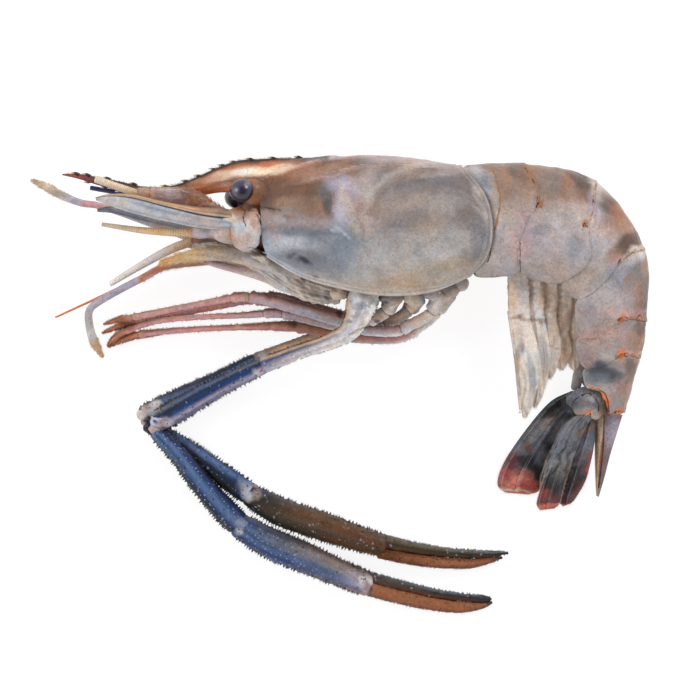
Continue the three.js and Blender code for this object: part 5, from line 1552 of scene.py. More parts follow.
def mouth_plates():
    """Streaked plates of the mouth."""
    forms = []
    for line, height, widths in MOUTH_PLATES:
        stations = [
            [x, y, height - 0.4 * k, half, 0.75 * half]
            for k, ((x, y), half) in enumerate(zip(line, widths))]
        pleats = lambda part, travel, angles, rings: 0.08 * np.cos(angles * 9) + 0.16 * ripple(rings, 1.8, 57)
        form = Limb(stations).form(sides=40, step=0.4, relief=pleats)
        streaks = 0.5 + 0.5 * np.cos(np.arctan2(form.values["up"], form.values["side"]) * 9)
        streaks = np.clip(streaks + 0.35 * ripple(form.places, 3, 58), 0, 1)
        base = gradient(streaks, [(0, "warm grey"), (0.4, "bone"), (1, "chalk")])
        form.paint(painted(form.places, base, PLATE_MARKS, waver=0.3))
        form.values["dark"] = 2 * streaks + 0.3
        forms.append(form)
    return with_lines(joined(*forms), pale=())


def limb_piece(stations, base, marks, swell=None, sides=18, step=0.45, shade=0.35):
    """A plain leg with painted marks, darker along its rear edge."""
    form = Limb(stations, swell).form(sides=sides, step=step)
    colours = gradient(form.values["part"], base)
    around = np.arctan2(form.values["up"], form.values["side"])
    streaks = smooth(0.2, 1, np.cos(around * 7))
    edge = smooth(0.3, 1, -form.values["side"])
    colours = mixed(colours, linear("umber"), shade * np.maximum(edge, 0.7 * streaks))
    form.paint(painted(form.places, colours, marks, waver=0.3))
    form.values["pale"] = np.abs(form.values["side"] - 0.35) * 2
    return with_lines(form, dark=())


HAIRY_LIMBS = {
    "first_leg_left": [(260, 0.6, 0.86, 0.995, "tan"), (150, 0.35, 0.45, 0.9, "bone")],
    "first_leg_right": [(240, 0.7, 0.7, 0.99, "bone"), (80, 0.5, 0.9, 0.99, "toffee")],
    "maxilliped_left": [(420, 1.3, 0.55, 0.98, "straw"), (120, 0.8, 0.3, 0.6, "bone")],
    "maxilliped_right": [(380, 1.1, 0.5, 0.99, "tan"), (100, 0.8, 0.3, 0.6, "bone")],
    "peduncle": [(170, 1.3, 0.12, 0.5, "leg orange"), (120, 0.9, 0.3, 0.95, "tan")],
}


def limb_hairs(name, stations):
    limb = Limb(stations)
    draws = enumerate(HAIRY_LIMBS[name])
    return joined(*[
        limb_bristles(limb, count, 95 + k, reach, linear(colour), lean=1.3, span=(start, end))
        for k, (count, reach, start, end, colour) in draws])


# ---- walking legs ----
WALKING_LEGS = {
    "walking_leg_left_1": [
        [16.4, 25.6, 20.6, 2.6, 1.6], [14, 21.8, 17.6, 2, 1.3], [9.2, 19.3, 15.4, 1.8, 1.15],
        [1.9, 18.8, 15, 1.75, 1.15], [-11.5, 22.6, 13.8, 1.9, 1.2], [-26.4, 26.2, 12.6, 1.6, 1.15],
        [-39.4, 24.6, 10.6, 0.95, 0.85], [-61.6, 20.2, 8, 1, 0.85], [-66, 19.4, 7.4, 0.85, 0.7],
        [-70.6, 18.1, 6.8, 0.25, 0.25]],
    "walking_leg_left_2": [
        [23.8, 25.8, 19.4, 2.6, 1.6], [21, 22.2, 15, 1.9, 1.3], [14, 18.8, 11, 1.6, 1.15],
        [1.9, 20.4, 9.7, 1.65, 1.1], [-10, 23.7, 9.2, 1.7, 1.15], [-21.1, 26.4, 8.4, 1.4, 1.1],
        [-34.9, 23.6, 7, 0.9, 0.85], [-59.5, 19, 4.2, 0.95, 0.8], [-66, 17.4, 3.6, 0.85, 0.7],
        [-71.2, 15.4, 3, 0.25, 0.25]],
    "walking_leg_left_3": [
        [30, 27, 20.2, 2.6, 1.7], [27.4, 21.4, 18.8, 1.8, 1.3], [22.1, 18.2, 16.8, 1.7, 1.2],
        [16.3, 15.9, 13.9, 1.6, 1.15], [1.9, 17.2, 12.4, 1.65, 1.1], [-16.6, 21.2, 10.9, 1.5, 1.1],
        [-28.6, 20.8, 9.6, 0.95, 0.85], [-52, 19.4, 6.5, 0.85, 0.75], [-64, 16, 4.8, 0.95, 0.8],
        [-67.6, 13.6, 4.4, 0.8, 0.7], [-69.4, 11.3, 4.2, 0.25, 0.25]],
    "walking_leg_right_3": [
        [33, 27, 13.2, 2.6, 1.7], [29.4, 21.6, 11.2, 1.8, 1.3], [24.6, 17.6, 10.4, 1.7, 1.2],
        [17.9, 14, 9.8, 1.6, 1.15], [3.4, 14.3, 9.7, 1.65, 1.15], [-12.4, 17.2, 8.8, 1.6, 1.15],
        [-28.1, 17.2, 7.4, 0.95, 0.85], [-47.5, 16.3, 5.2, 0.85, 0.75], [-60.1, 15.1, 3.6, 1, 0.85],
        [-65.8, 13.2, 2.6, 0.85, 0.7], [-69.5, 11.2, 1.8, 0.25, 0.25]],
    "walking_leg_right_1": [
        [14.8, 25.8, 12.4, 1.9, 1.4], [13.4, 21, 8.2, 1.5, 1.1], [1.9, 19.5, 7.2, 1.4, 1],
        [-11.5, 22.4, 6.4, 1.4, 1], [-25, 25.2, 5.6, 1.3, 1], [-39.4, 23.6, 4.2, 0.85, 0.75],
        [-60, 19.2, 2, 0.75, 0.65], [-67, 17.4, 1.1, 0.25, 0.25]],
    "walking_leg_right_2": [
        [22.3, 26.2, 12.2, 1.9, 1.4], [18.5, 19.5, 8.2, 1.5, 1.1], [10, 16.7, 7.2, 1.4, 1],
        [1.9, 16.3, 7.1, 1.35, 1], [-12.4, 17.8, 6, 1.35, 1], [-28.1, 17.4, 4.8, 0.85, 0.8],
        [-47.5, 16.2, 2.8, 0.75, 0.65], [-58, 14.8, 1.6, 0.65, 0.5], [-65.5, 12.8, 0.8, 0.25, 0.25]]}
# Where each walking leg's joints are, counted in its stations.
LEG_JOINTS = {
    "walking_leg_left_1": [0.9, 2, 5, 5.45, 7], "walking_leg_left_2": [0.9, 2, 5, 5.5, 7],
    "walking_leg_left_3": [0.9, 2.6, 5, 5.5, 8], "walking_leg_right_3": [0.9, 2.6, 5, 5.5, 8],
    "walking_leg_right_1": [1, 4, 6], "walking_leg_right_2": [1, 4, 7],
}
# From the lower edge to the upper edge, as seen from above.
# Near the root (parts 0.14 to 0.3) the leg's pale colour is lightened further, painted light against the
# shade there.
LEG_BANDS = {
    "upper": [
        (0, ["pearl", "white", "warm grey"]), (0.14, ["chalk", "light peach", "warm grey"]),
        (0.3, ["white", "chalk", "pink grey", "pink", "tan pink"]),
        (0.42, ["pink grey", "lilac", "pink grey", "rose grey", "mauve", "brown"]),
        (0.6, ["pink", "pink grey", "pink", "pink", "mauve", "brown"]),
        (0.66, ["pink", "pink", "tan pink", "pink"]), (0.76, ["pink", "pink", "tan pink", "clay"]),
        (0.84, ["clay", "leg orange", "clay", "leg orange"]), (0.91, ["leg orange", "peach", "leg orange"]),
        (1, ["rust", "leg orange", "rust"])],
    "lower": [
        (0, ["pearl", "white", "warm grey"]), (0.2, ["white", "light peach", "chalk"]),
        (0.3, ["chalk", "pink", "pink", "rose grey"]), (0.45, ["mauve", "clay", "toffee", "brown"]),
        (0.6, ["pink", "pink", "toffee", "clay"]), (0.66, ["pink", "pink", "clay"]),
        (0.76, ["pink", "pink", "toffee", "clay"]), (0.84, ["clay", "leg orange", "clay", "leg orange"]),
        (0.91, ["leg orange", "peach", "leg orange"]), (1, ["rust", "leg orange"])],
}
LEG_MARKS = [
    ("chalk", 0.8, (5.8, 23.6), (4, 4)), ("near black", 0.85, (13.3, 24.8), (1.1, 0.7)),
    ("ochre", 0.6, (14.8, 23.8), (1.2, 0.8)), ("near black", 0.85, (11.5, 18.8), (1.2, 0.8)),
    ("ochre", 0.5, (13, 19.9), (1, 0.8)), ("near black", 0.8, (0.4, 21.1), (0.9, 1.2)),
    ("ochre", 0.4, (22.1, 24.1), (1, 2)), ("slate", 0.4, (27.4, 25.3), (2, 1.2)),
    ("slate", 0.4, (18.4, 21.8), (2, 1)), ("sand", 0.7, (-27.4, 26.6), (1.4, 1.4)),
    ("sand", 0.6, (-28.6, 21.1), (1, 1.2)), ("tan", 0.7, (-30.1, 17.8), (1, 1.4)),
    ("brown", 0.6, (-21.1, 26.2), (1.6, 1.2)), ("dark brown", 0.7, (-13.7, 18.1), (2, 1.2)),
    ("sand", 0.6, (-60.1, 20.2), (1.2, 1)), ("tan", 0.5, (-60.1, 15.4), (1.4, 1)),
    ("rust", 0.6, (-65.5, 19.3), (3, 1)), ("clay dark", 0.6, (-63.1, 17.6), (2, 1.4))]


def walking_leg(name):
    """A thin leg with its joints, its dark upper edge and its painted marks."""
    stations = WALKING_LEGS[name]
    swell, joints = jointed(stations, LEG_JOINTS[name], depth=0.24)
    rough = lambda part, travel, angles, rings: 0.05 * ripple(rings, 1.2, 65) + 0.05 * ripple(rings, 3, 66)
    form = Limb(stations, swell).form(sides=20, step=0.4, relief=rough)
    rows = LEG_BANDS["lower" if name.endswith("right_3") else "upper"]
    form.paint(painted(form.places, bands(form, rows), LEG_MARKS, waver=0.3))
    form.values["pale"] = np.abs(form.values["side"] - 0.25) * 2.5
    form.values["dark"] = np.abs(form.values["along"][:, None] - joints - 0.3).min(axis=1) * 1.4
    return form


def leg_hairs(name):
    """Short dark bristles along both edges of a thin leg, longer near its tip."""
    stations = WALKING_LEGS[name]
    limb = Limb(stations, jointed(stations, LEG_JOINTS[name], depth=0.24)[0])
    brown, amber = linear("dark brown"), linear("amber")
    edges = limb_rows(limb, [-5, 175, 185], 0.9, 0.45, brown, span=(0.22, 0.97), seed=91)
    tip = limb_bristles(limb, 110, 92, 0.6, amber, lean=0.8, span=(0.84, 0.99))
    return joined(edges, tip)


# (x, y), height, radii, colour: the knobs that the legs grow from, below the edge of the carapace.
LEG_SOCKETS = [
    ((7, 25.1), 22.2, (4.3, 3.4, 2.4), "chalk"), ((15.8, 25.6), 20.6, (3.3, 2.3, 2.2), "warm grey"),
    ((22.3, 25.9), 20.2, (3, 2.2, 2.2), "bone"), ((28.6, 26.8), 20.4, (3.2, 2.2, 2.1), "pink grey"),
    ((33.1, 28.1), 19.6, (3.2, 2.2, 2.2), "warm grey"), ((36.1, 29.8), 19, (2.7, 2.1, 2.1), "chalk"),
    ((0.4, 27.1), 20, (3, 2, 2), "bone"),
]
SOCKET_MARKS = [
    ("slate", 0.7, (6.8, 23.6), (1.4, 1)), ("pale blue", 0.5, (9.4, 25.3), (2, 1.6)),
    ("ochre", 0.5, (4, 21.4), (0.9, 0.8)), ("near black", 0.8, (13.7, 24.8), (1.1, 0.7)),
    ("sand", 0.6, (18.4, 25.3), (2, 1)), ("slate", 0.5, (25.9, 25.6), (1.4, 1)),
    ("grey brown", 0.6, (31.9, 26.8), (1.6, 1.6)), ("sand", 0.5, (35.9, 28.3), (1.6, 1))]


def leg_sockets():
    lumps = []
    for (x, y), height, radii, colour in LEG_SOCKETS:
        lump = ball((x, y, height), radii, rings=16, sides=26, lumps=0.3, lump_size=2.6, seed=67)
        lumps.append(lump.paint(painted(lump.places, colour, SOCKET_MARKS, waver=0.4)))
    form = joined(*lumps)
    form.values["dark"] = 0.2 + 2.4 * np.abs(ripple(form.places, 3.2, 68))
    return with_lines(form, pale=())


# ---- the long claws ----
CLAWS = {"left": {
    "base": [
        [7.8, 28, 21.6, 4.6, 3.2], [6.9, 23.8, 21.9, 4.7, 3.8], [5.4, 19.4, 21.4, 3.6, 3.5],
        [2.2, 15.2, 20, 2.8, 2.8],
        [-5, 12, 17.2, 2.3, 2.4], [-11.5, 10, 14.8, 2.2, 2.3], [-22, 6, 11.2, 2.6, 2.6],
    ],
    "merus": [
        [-22.6, 5.7, 10.9, 2.5, 2.55], [-34, 0.2, 9.8, 2.85, 2.7], [-41.5, -3.8, 9.2, 3.2, 2.8],
        [-49, -8.2, 8.8, 3.5, 2.9], [-54.4, -11.2, 8.6, 3.1, 2.7],
    ],
    "carpus": [
        [-54.4, -14.6, 7.6, 2.4, 2.4], [-48, -21.3, 6.6, 2.8, 2.7], [-42.3, -28.7, 5.4, 3.2, 3],
        [-35.9, -36.2, 4.4, 3.6, 3.3], [-30.6, -41.6, 3.9, 3.8, 3.4],
    ],
    "palm": [
        [-29.9, -42.4, 3.8, 3.8, 3.4], [-20.6, -47.8, 3.8, 4.5, 3.6], [-11.5, -51.6, 3.7, 4.6, 3.6],
        [0.4, -56.8, 3.4, 4, 3.4], [8.9, -60.2, 3.2, 3.7, 3.1],
    ],
    "finger": [
        [7.2, -57.7, 3.4, 1.9, 2.1], [18.4, -60.5, 3.2, 1.6, 1.9], [30.4, -63.2, 2.8, 1.3, 1.6],
        [42.4, -64.6, 2.2, 1, 1.1], [46, -64.7, 2, 0.35, 0.4],
    ],
    "dactyl": [
        [7.8, -60.9, 3.2, 2.3, 2.4], [16.9, -63.5, 3.1, 2.25, 2.2], [27.4, -65.9, 2.8, 2, 1.8],
        [36, -67, 2.4, 1.7, 1.5], [42.2, -66.7, 2, 1.1, 1], [46.2, -65.7, 1.8, 0.35, 0.35],
    ],
}, "right": {
    "base": [
        [8.4, 25, 11.2, 2.4, 2.1], [8.2, 24, 6.6, 2.4, 2.2], [5.2, 21.4, 3.1, 2.8, 2.4],
        [1.9, 18.4, 2.9, 2.9, 2.5], [-1.1, 15.6, 2.9, 2.9, 2.5], [-11.5, 11.7, 2.9, 2.5, 2.5],
        [-24.4, 7.2, 2.8, 2.5, 2.5],
    ],
    "merus": [
        [-25.2, 6.8, 2.8, 2.5, 2.45], [-35.5, 1.6, 2.8, 2.7, 2.55], [-47.5, -3.9, 2.9, 2.9, 2.65],
        [-58.6, -9, 3, 2.7, 2.55],
    ],
    "carpus": [
        [-57.6, -12.2, 2.8, 2.1, 2.2], [-49, -17, 2.6, 2.4, 2.3], [-41.5, -22.2, 2.8, 2.9, 2.6],
        [-34, -27.9, 3.3, 3.3, 2.9], [-27.4, -32.6, 3.6, 3.4, 3.1],
    ],
    "palm": [
        [-26.7, -33.2, 3.7, 3.4, 3.2], [-17.6, -38.3, 3.7, 4.2, 3.5], [-5.5, -42.5, 3.6, 4.3, 3.5],
        [3.5, -45.6, 3.5, 3.9, 3.4], [13.2, -48.5, 3.2, 3.4, 3],
    ],
    "finger": [
        [12.2, -47, 3.3, 2.1, 2.2], [18.4, -48.5, 3.2, 1.95, 2], [30.4, -50.4, 2.8, 1.5, 1.6],
        [42.4, -51.2, 2.3, 1.15, 1.2], [51, -50.8, 1.8, 0.35, 0.4],
    ],
    "dactyl": [
        [12.4, -50.7, 3.1, 1.8, 2.1], [24.4, -52.9, 3, 1.75, 1.9], [33.4, -53.8, 2.7, 1.6, 1.6],
        [41, -53.8, 2.4, 1.3, 1.3], [49.2, -52.2, 1.8, 0.4, 0.4],
    ],
}}


def bands(form, rows):
    """Colours across a limb seen from above. Each row is (part, colours from side 1 to side -1)."""
    side = form.values["side"]
    layers = []
    for _, names in rows:
        layers.append(gradient(-side, list(zip(np.linspace(-0.95, 0.95, len(names)), names))))
    part = form.values["part"]
    knots = [row[0] for row in rows]
    place = np.interp(part, knots, np.arange(len(rows)))
    low = np.clip(place.astype(int), 0, max(len(rows) - 2, 0))
    layers = np.array(layers)
    which = np.arange(len(part))
    return mixed(layers[low, which], layers[np.minimum(low + 1, len(rows) - 1), which], place - low)


# Each row is (part of the way, colours from the left edge of the way to the right one). From above that runs
# from the lower edge up on a base or merus, and from the upper edge down on the others.
# The lilac stripe low on the left merus and the steel stripes inside the deep blue of the merus, carpus and
# palm are painted highlights.
CLAW_BANDS = {
    "left base": [
        (0, ["white", "white", "pale blue", "chalk", "white", "warm grey"]),
        (0.3, ["white", "white", "white", "pale lilac", "white", "chalk", "tan"]),
        (0.62, ["white", "white", "pink grey", "white", "pale lilac", "slate", "light peach", "toffee"]),
        (0.85, [
            "white", "pink grey", "pale lilac", "pink grey", "smoke", "deep blue", "light peach", "umber"]),
        (1, ["lilac", "pale lilac", "lilac", "smoke", "blue", "deep blue", "tan", "near black"])],
    "left merus": [
        (0, ["mauve blue", "lilac", "lilac", "blue", "deep blue", "deep blue", "navy", "slate", "navy"]),
        (0.45, [
            "mauve blue", "mauve blue", "lilac", "deep blue", "royal", "royal", "navy", "steel", "navy"]),
        (0.85, ["slate", "mauve blue", "lilac", "blue", "deep blue", "navy", "navy", "slate", "navy"]),
        (1, ["slate", "mauve", "pale lilac", "blue", "royal", "navy", "near black"])],
    "left carpus": [
        (0, ["navy", "royal", "royal", "steel", "steel", "royal", "steel", "steel", "near black"]),
        (0.5, ["navy", "royal", "royal", "steel", "steel", "blue", "royal", "navy", "near black"]),
        (1, ["navy", "royal", "royal", "blue", "steel", "blue", "royal", "navy", "near black"])],
    "left palm": [
        (0, ["slate", "deep blue", "deep blue", "steel", "deep blue", "steel", "royal", "deep blue"]),
        (0.4, ["dark slate", "dark slate", "slate", "slate", "slate blue", "blue", "royal", "slate blue"]),
        (0.72, ["dark brown", "taupe", "taupe", "smoke", "slate blue", "slate blue", "slate blue", "umber"]),
        (0.93, ["dark brown", "taupe", "lilac", "rose grey", "lilac", "lilac", "slate blue", "mauve"]),
        (1, ["umber", "rose grey", "chalk", "rose grey", "lilac", "rose grey", "mauve"])],
    "left finger": [
        (0, ["dark slate", "umber", "dark brown"]), (0.5, ["slate", "near black", "dark brown", "rust"]),
        (1, ["near black", "navy", "navy", "near black"])],
    "left dactyl": [
        (0, ["rose grey", "mauve", "rose grey", "mauve"]),
        (0.08, ["amber", "clay", "clay", "clay", "brown"]),
        (0.6, ["clay", "clay", "clay", "clay", "red brown"]), (0.88, ["umber", "clay", "clay", "brown"]),
        (1, ["navy", "navy", "dark slate"])],
    "right base": [
        (0, ["warm grey", "bone"]),
        (0.5, ["bone", "slate", "chalk", "light peach", "light peach", "toffee", "umber"]),
        (0.9, ["bone", "slate", "light peach", "light peach", "tan", "umber"]),
        (1, ["navy", "slate", "umber"])],
    "right merus": [
        (0, ["royal", "deep blue", "deep blue", "slate blue", "steel", "navy", "navy"]),
        (0.5, ["navy", "deep blue", "royal", "royal", "steel", "slate blue", "navy", "black blue"]),
        (0.88, ["navy", "royal", "royal", "navy", "steel", "slate blue", "black blue"]),
        (1, ["navy", "pale blue", "chalk", "mauve", "near black"])],
    "right carpus": [
        (0, ["navy", "royal", "royal", "dark slate", "near black", "near black"]),
        (0.5, ["deep blue", "steel", "blue", "navy", "black blue", "near black", "near black"]),
        (0.85, ["deep blue", "steel", "royal", "navy", "navy", "near black", "near black"]),
        (1, ["slate blue", "pale blue", "deep blue", "navy"])],
    "right palm": [
        (0, ["slate blue", "black green", "black green", "near black", "near black", "black green"]),
        (0.15, ["dark slate", "black green", "black green", "dark olive", "black green", "black green"]),
        (0.4, ["umber", "olive", "amber dark", "olive", "umber", "dark olive", "black green", "dark olive"]),
        (0.75, [
            "umber", "olive", "amber dark", "amber dark", "umber", "dark olive", "amber dark", "dark olive"]),
        (1, ["umber", "olive", "olive", "amber dark", "olive", "dark olive", "amber dark"])],
    "right finger": [
        (0, ["umber", "khaki green", "dark olive", "olive", "amber dark"]),
        (0.7, ["slate", "khaki green", "black green", "dark olive", "amber dark"]),
        (1, ["slate", "near black", "near black"])],
    "right dactyl": [
        (0, ["amber dark", "amber dark", "amber dark", "clay dark"]),
        (0.4, ["clay dark", "clay", "clay", "clay dark"]), (0.85, ["clay dark", "clay", "clay dark"]),
        (1, ["near black", "umber"])]}
CLAW_MARKS = [
    ("chalk", 0.95, (-55, -6.5), (2.1, 1.5), 30), ("rose grey", 0.8, (-58, -7.3), (1.5, 1.2)),
    ("pale blue", 0.8, (-56.5, -8.5), (1.5, 1)), ("rose grey", 0.7, (-52.6, -11.2), (1.7, 1.2)),
    ("pale lilac", 0.8, (-50.5, -11.8), (1.3, 1.2)), ("near black", 0.8, (-57.4, -10.3), (1.2, 0.8)),
    ("pale blue", 0.9, (-27.8, -32.9), (1.9, 1.4), -30), ("chalk", 0.5, (-26.8, -34.6), (1.2, 0.8)),
    ("rose grey", 0.6, (-24.8, -33.1), (1.3, 1.6)), ("near black", 0.5, (-25.6, -35.5), (1.4, 0.8)),
    ("pale blue", 0.45, (-29.2, -41.9), (1.4, 1.6)), ("chalk", 0.6, (-29.8, -44.5), (1.2, 0.8)),
    ("chalk", 0.7, (-24.1, 3.8), (1.6, 1), -30), ("pink", 0.4, (-22.9, 4.3), (1, 1.4)),
    ("mauve", 0.6, (8.2, -60.8), (1.1, 2.4), 20), ("dark brown", 0.8, (9.8, -62.2), (0.5, 1.4)),
    ("slate", 0.6, (6.8, 23.6), (1.7, 1.2)), ("warm grey", 0.6, (9.2, 25.3), (3, 1.2), -30),
    ("ochre", 0.4, (4.3, 20.6), (1, 0.8)), ("warm grey", 0.7, 0.5, (10.3, 25.1), (8.2, 21.8), (6.5, 18.1)),
    ("toffee", 0.6, 0.4, (11.5, 19.9), (8.2, 17.6), (4, 15.1)), ("umber", 0.6, (3.1, 18.8), (0.8, 0.6)),
    ("slate", 0.4, 0.4, (4, 25.3), (5.2, 21.8), (4, 18.8)), ("chalk", 0.7, (6.8, -59.5), (1.1, 1.6)),
    ("pale blue", 0.5, (-22.9, 8.5), (1.6, 1))]
# Which angles around a limb have a row of warts, and their colour.
# Their pale colour is partly their own and partly a painted highlight.
CLAW_WARTS = {
    "left merus": ([75, 120], "steel"), "left carpus": ([60, 125, 150], "blue grey"),
    "left palm": ([60, 90, 118, 142], "blue grey"), "right merus": ([120], "steel"),
    "right carpus": ([50, 110], "steel"), "right palm": ([86, 112], "brown"), "left base": ([70], "white"),
}
KNUCKLES = {
    "left merus": [
        ((-53.6, -10.6, 9), (2.9, 2.3, 2.5), "pale lilac"), ((-54.9, -13.2, 8), (2, 1.8, 2), "rose grey")],
    "right merus": [
        ((-58.3, -8.9, 3.3), (2.5, 2.2, 2.5), "chalk"), ((-57.9, -11.2, 2.8), (1.7, 1.6, 1.8), "rose grey")],
    "left carpus": [((-30.4, -41.9, 4), (3, 2.7, 2.9), "slate blue")],
    "right carpus": [
        ((-27.1, -32.8, 3.7), (2.7, 2.5, 2.8), "pale blue"), ((-25.4, -32.2, 4), (1.5, 2.3, 2.2), "mauve")],
    "left palm": [((8, -60.5, 3.5), (1.5, 3, 2.4), "mauve")]}


def knuckle(centre, radii, colour):
    """The soft white and pink lump that shows where two parts of a claw meet."""
    lump = ball(centre, radii, rings=16, sides=24, lumps=0.22, lump_size=1.8, seed=63)
    lump.paint(painted(lump.places, colour, CLAW_MARKS, waver=0.4))
    lump.values["dark"] = 0.45 + 2.2 * np.abs(ripple(lump.places, 2.2, 64))
    return lump


def claw_part(side, name):
    limb = Limb(CLAWS[side][name])
    bumpy = lambda part, travel, angles, rings: 0.05 * ripple(rings, 1.1, 61) + 0.09 * ripple(rings, 4, 62)
    form = limb.form(sides=36, step=0.42, dome=0.5, relief=bumpy)
    form.paint(painted(form.places, bands(form, CLAW_BANDS[f"{side} {name}"]), CLAW_MARKS, waver=0.3))
    return joined(with_lines(form, dark=()), *[knuckle(*lump) for lump in KNUCKLES.get(f"{side} {name}", [])])


def claw_spines(side, name):
    """Dark spinules all over a part of a claw, thickest along its edges."""
    limb = Limb(CLAWS[side][name])
    reach, crowd = {"base": (0.35, 1.2), "finger": (0.5, 3), "dactyl": (0.45, 3)}.get(name, (0.75, 2))
    seed = 70 + len(name) + (side == "left")
    dark = linear("near black")
    around = limb_bristles(limb, int(limb.length * crowd), seed, reach * 0.5, dark, lean=0.7)
    edges = limb_rows(limb, [-10, 10, 170, 190], 0.9, reach, dark, seed=seed + 1)
    return joined(around, edges)


def claw_warts(side, name):
    """Rows of small pale warts on top of a part of a claw."""
    limb = Limb(CLAWS[side][name])
    rows, colour = CLAW_WARTS[f"{side} {name}"]
    return limb_rows(limb, rows, 1.7, 0.22, linear(colour), seed=81, wobble=0.09)


# ---- swimming legs: a stalk and two leaves each ----
# [stalk top x, y, joint x, y, middle of the leaf x, y, tip x, y, leaf half width]
SWIMMING_LEGS = [
    [53.4, 33.2, 54.2, 20, 57, 6, 55.7, -9.7, 3.4],
    [58.2, 32, 59, 20, 60.4, 7.4, 58.7, -6.7, 3],
    [63, 30, 62.6, 18.8, 63.6, 11, 63.2, 2, 3.1],
    [67.8, 30, 66, 14.9, 66.6, 10.4, 66.8, 4.6, 3.3],
    [70.8, 30.5, 70.6, 14, 70.4, 9.6, 70.8, 4.4, 2.8],
]
SWIMMING_LEG_LAYERS = {"left": [20.6, 18.7, 16.8, 15.2, 13.7], "right": [9.2, 10.8, 12.4, 11, 9.4]}
SWIMMING_MARKS = [
    ("near black", 0.7, (54.1, 20.2), (0.9, 0.9)), ("near black", 0.6, (61, 18.1), (1.1, 0.7)),
    ("slate", 0.7, (54.8, 11.2), (0.8, 1.6)), ("blue grey", 0.7, (57.8, 1.9), (1.2, 7), 8),
    ("blue grey", 0.5, (60.8, 9.8), (1.4, 6)), ("light peach", 0.8, (52, 25.9), (1.4, 6)),
    ("pink grey", 0.6, (55, 26.6), (1.6, 5)), ("clay", 0.4, (57.4, 25.3), (0.8, 6)),
    ("light peach", 0.6, (61.9, 25.3), (2, 6)), ("tan", 0.5, (65.2, 19.9), (2, 5), -20),
    ("clay", 0.45, (67.3, 17.8), (1, 6), -30), ("light peach", 0.6, (68.2, 11.8), (2, 4), -30),
    ("chalk", 0.6, (57.4, -5.2), (2, 3)), ("pink grey", 0.5, (53.9, 14.8), (1.6, 4)),
    ("toffee", 0.6, (53.2, 7.3), (1, 6), -8), ("toffee", 0.7, 0.5, (52, 19.9), (56.2, 19.6), (61.9, 19.1)),
    ("clay", 0.5, 0.5, (62.8, 12.2), (65.2, 10.9), (68.2, 9.8)), ("peach", 0.4, (67.3, 7.9), (2, 2)),
    ("grey brown", 0.4, (62.8, 5.8), (2, 4))]


def leaf_rows(number, side):
    """Rows of the leaf of a swimming leg: both edges, height and half thickness."""
    _, _, joint_x, joint_y, middle_x, middle_y, tip_x, tip_y, half = SWIMMING_LEGS[number]
    z = SWIMMING_LEG_LAYERS[side][number]
    row = lambda x, y, part, thick: [x - half * part, y, x + half * part, y, z, thick]
    third_x, third_y = 0.5 * (middle_x + tip_x), tip_y + 0.3 * (middle_y - tip_y)
    return [row(joint_x, joint_y + 0.8, 0.8, 0.6), row(middle_x, middle_y, 1, 0.6),
            row(third_x, third_y, 0.5, 0.45), row(tip_x, tip_y, 0.12, 0.25)]


def stalk_folds(part, travel, angles, rings):
    """The lengthwise folds of a stalk, from its points alone."""
    return 0.07 * np.sin(rings[..., 0] * 4.2) + 0.22 * ripple(rings, 1.9, 58)


def swimming_leg(number, side):
    """A stalk with lengthwise folds, and two leaves that lie on each other."""
    top_x, top_y, joint_x, joint_y, *_, half = SWIMMING_LEGS[number]
    z = SWIMMING_LEG_LAYERS[side][number]
    stalk = Limb([
        [top_x, top_y, z, half * 0.85, 0.8],
        [(top_x + joint_x) / 2, (top_y + joint_y) / 2, z, half * 0.92, 0.95],
        [joint_x, joint_y, z, half * 0.82, 0.8]]).form(sides=28, step=0.5, relief=stalk_folds)
    pleats = lambda part, width, plan: 0.05 * np.cos(width * 44) + 0.4 * bell(width - 0.45, 0.1)
    rows = np.array(leaf_rows(number, side))
    second = rows + np.array([-0.9, 1.2, -0.9, 1.2, -0.5, 0])
    second[:, 2] -= 0.35 * half
    leaves = [blade(rows, across=26, step=0.5, camber=0, relief=pleats),
              blade(second, across=22, step=0.6, camber=0, relief=pleats)]
    form = joined(stalk, *leaves)
    stripe = np.cos((form.places[:, 0] + 0.12 * form.places[:, 1]) * 3.6 + 2.6 * ripple(form.places, 9, 59))
    low = smooth(20, -6, form.places[:, 1]) * (number < 3)
    base = mixed(gradient(stripe, [(-1, "light peach"), (0.1, "straw"), (1, "white")]),
                 gradient(stripe, [(-1, "blue grey"), (-0.8, "pearl"), (0, "bone"), (1, "cream")]), low)
    # Painted light: white mixed in over the whole leg, and more towards the body, lifts the shade under the
    # shells.
    base = mixed(base, linear("white"), 0.2 + 0.5 * smooth(-2, 14, form.places[:, 1]))
    form.paint(painted(form.places, base, SWIMMING_MARKS, waver=0.35))
    form.values["pale"] = np.abs(stripe - 0.95) * 1.6
    form.values["dark"] = np.abs(stripe + 1) * 2 + 0.5 - 0.2 * low
    return form


def blade_rim(stations, start=0.0):
    """The rim of a leaf from one edge round its tip to the other, with the way out of it."""
    stations = np.asarray(stations, float)
    parts = np.linspace(start, 1, 40)
    first, second = (through(stations[:, k:k + 2], parts) for k in (0, 2))
    height = through(stations[:, 4], parts)[:, None]
    rim = np.concatenate([np.hstack([first, height]), np.hstack([second, height])[::-1]])
    away = rim - rim.mean(axis=0)
    return rim, unit(away * [1, 1, 0.2])


def leaf_hairs(side):
    forms = []
    for number in range(len(SWIMMING_LEGS)):
        rim, out = blade_rim(leaf_rows(number, side), start=0.1)
        forms.append(rim_bristles(rim, out, 0.3, 0.7, linear("bone"), lean=(0, -0.8, 0), seed=101 + number))
    return joined(*forms)


# ---- tail fan ----


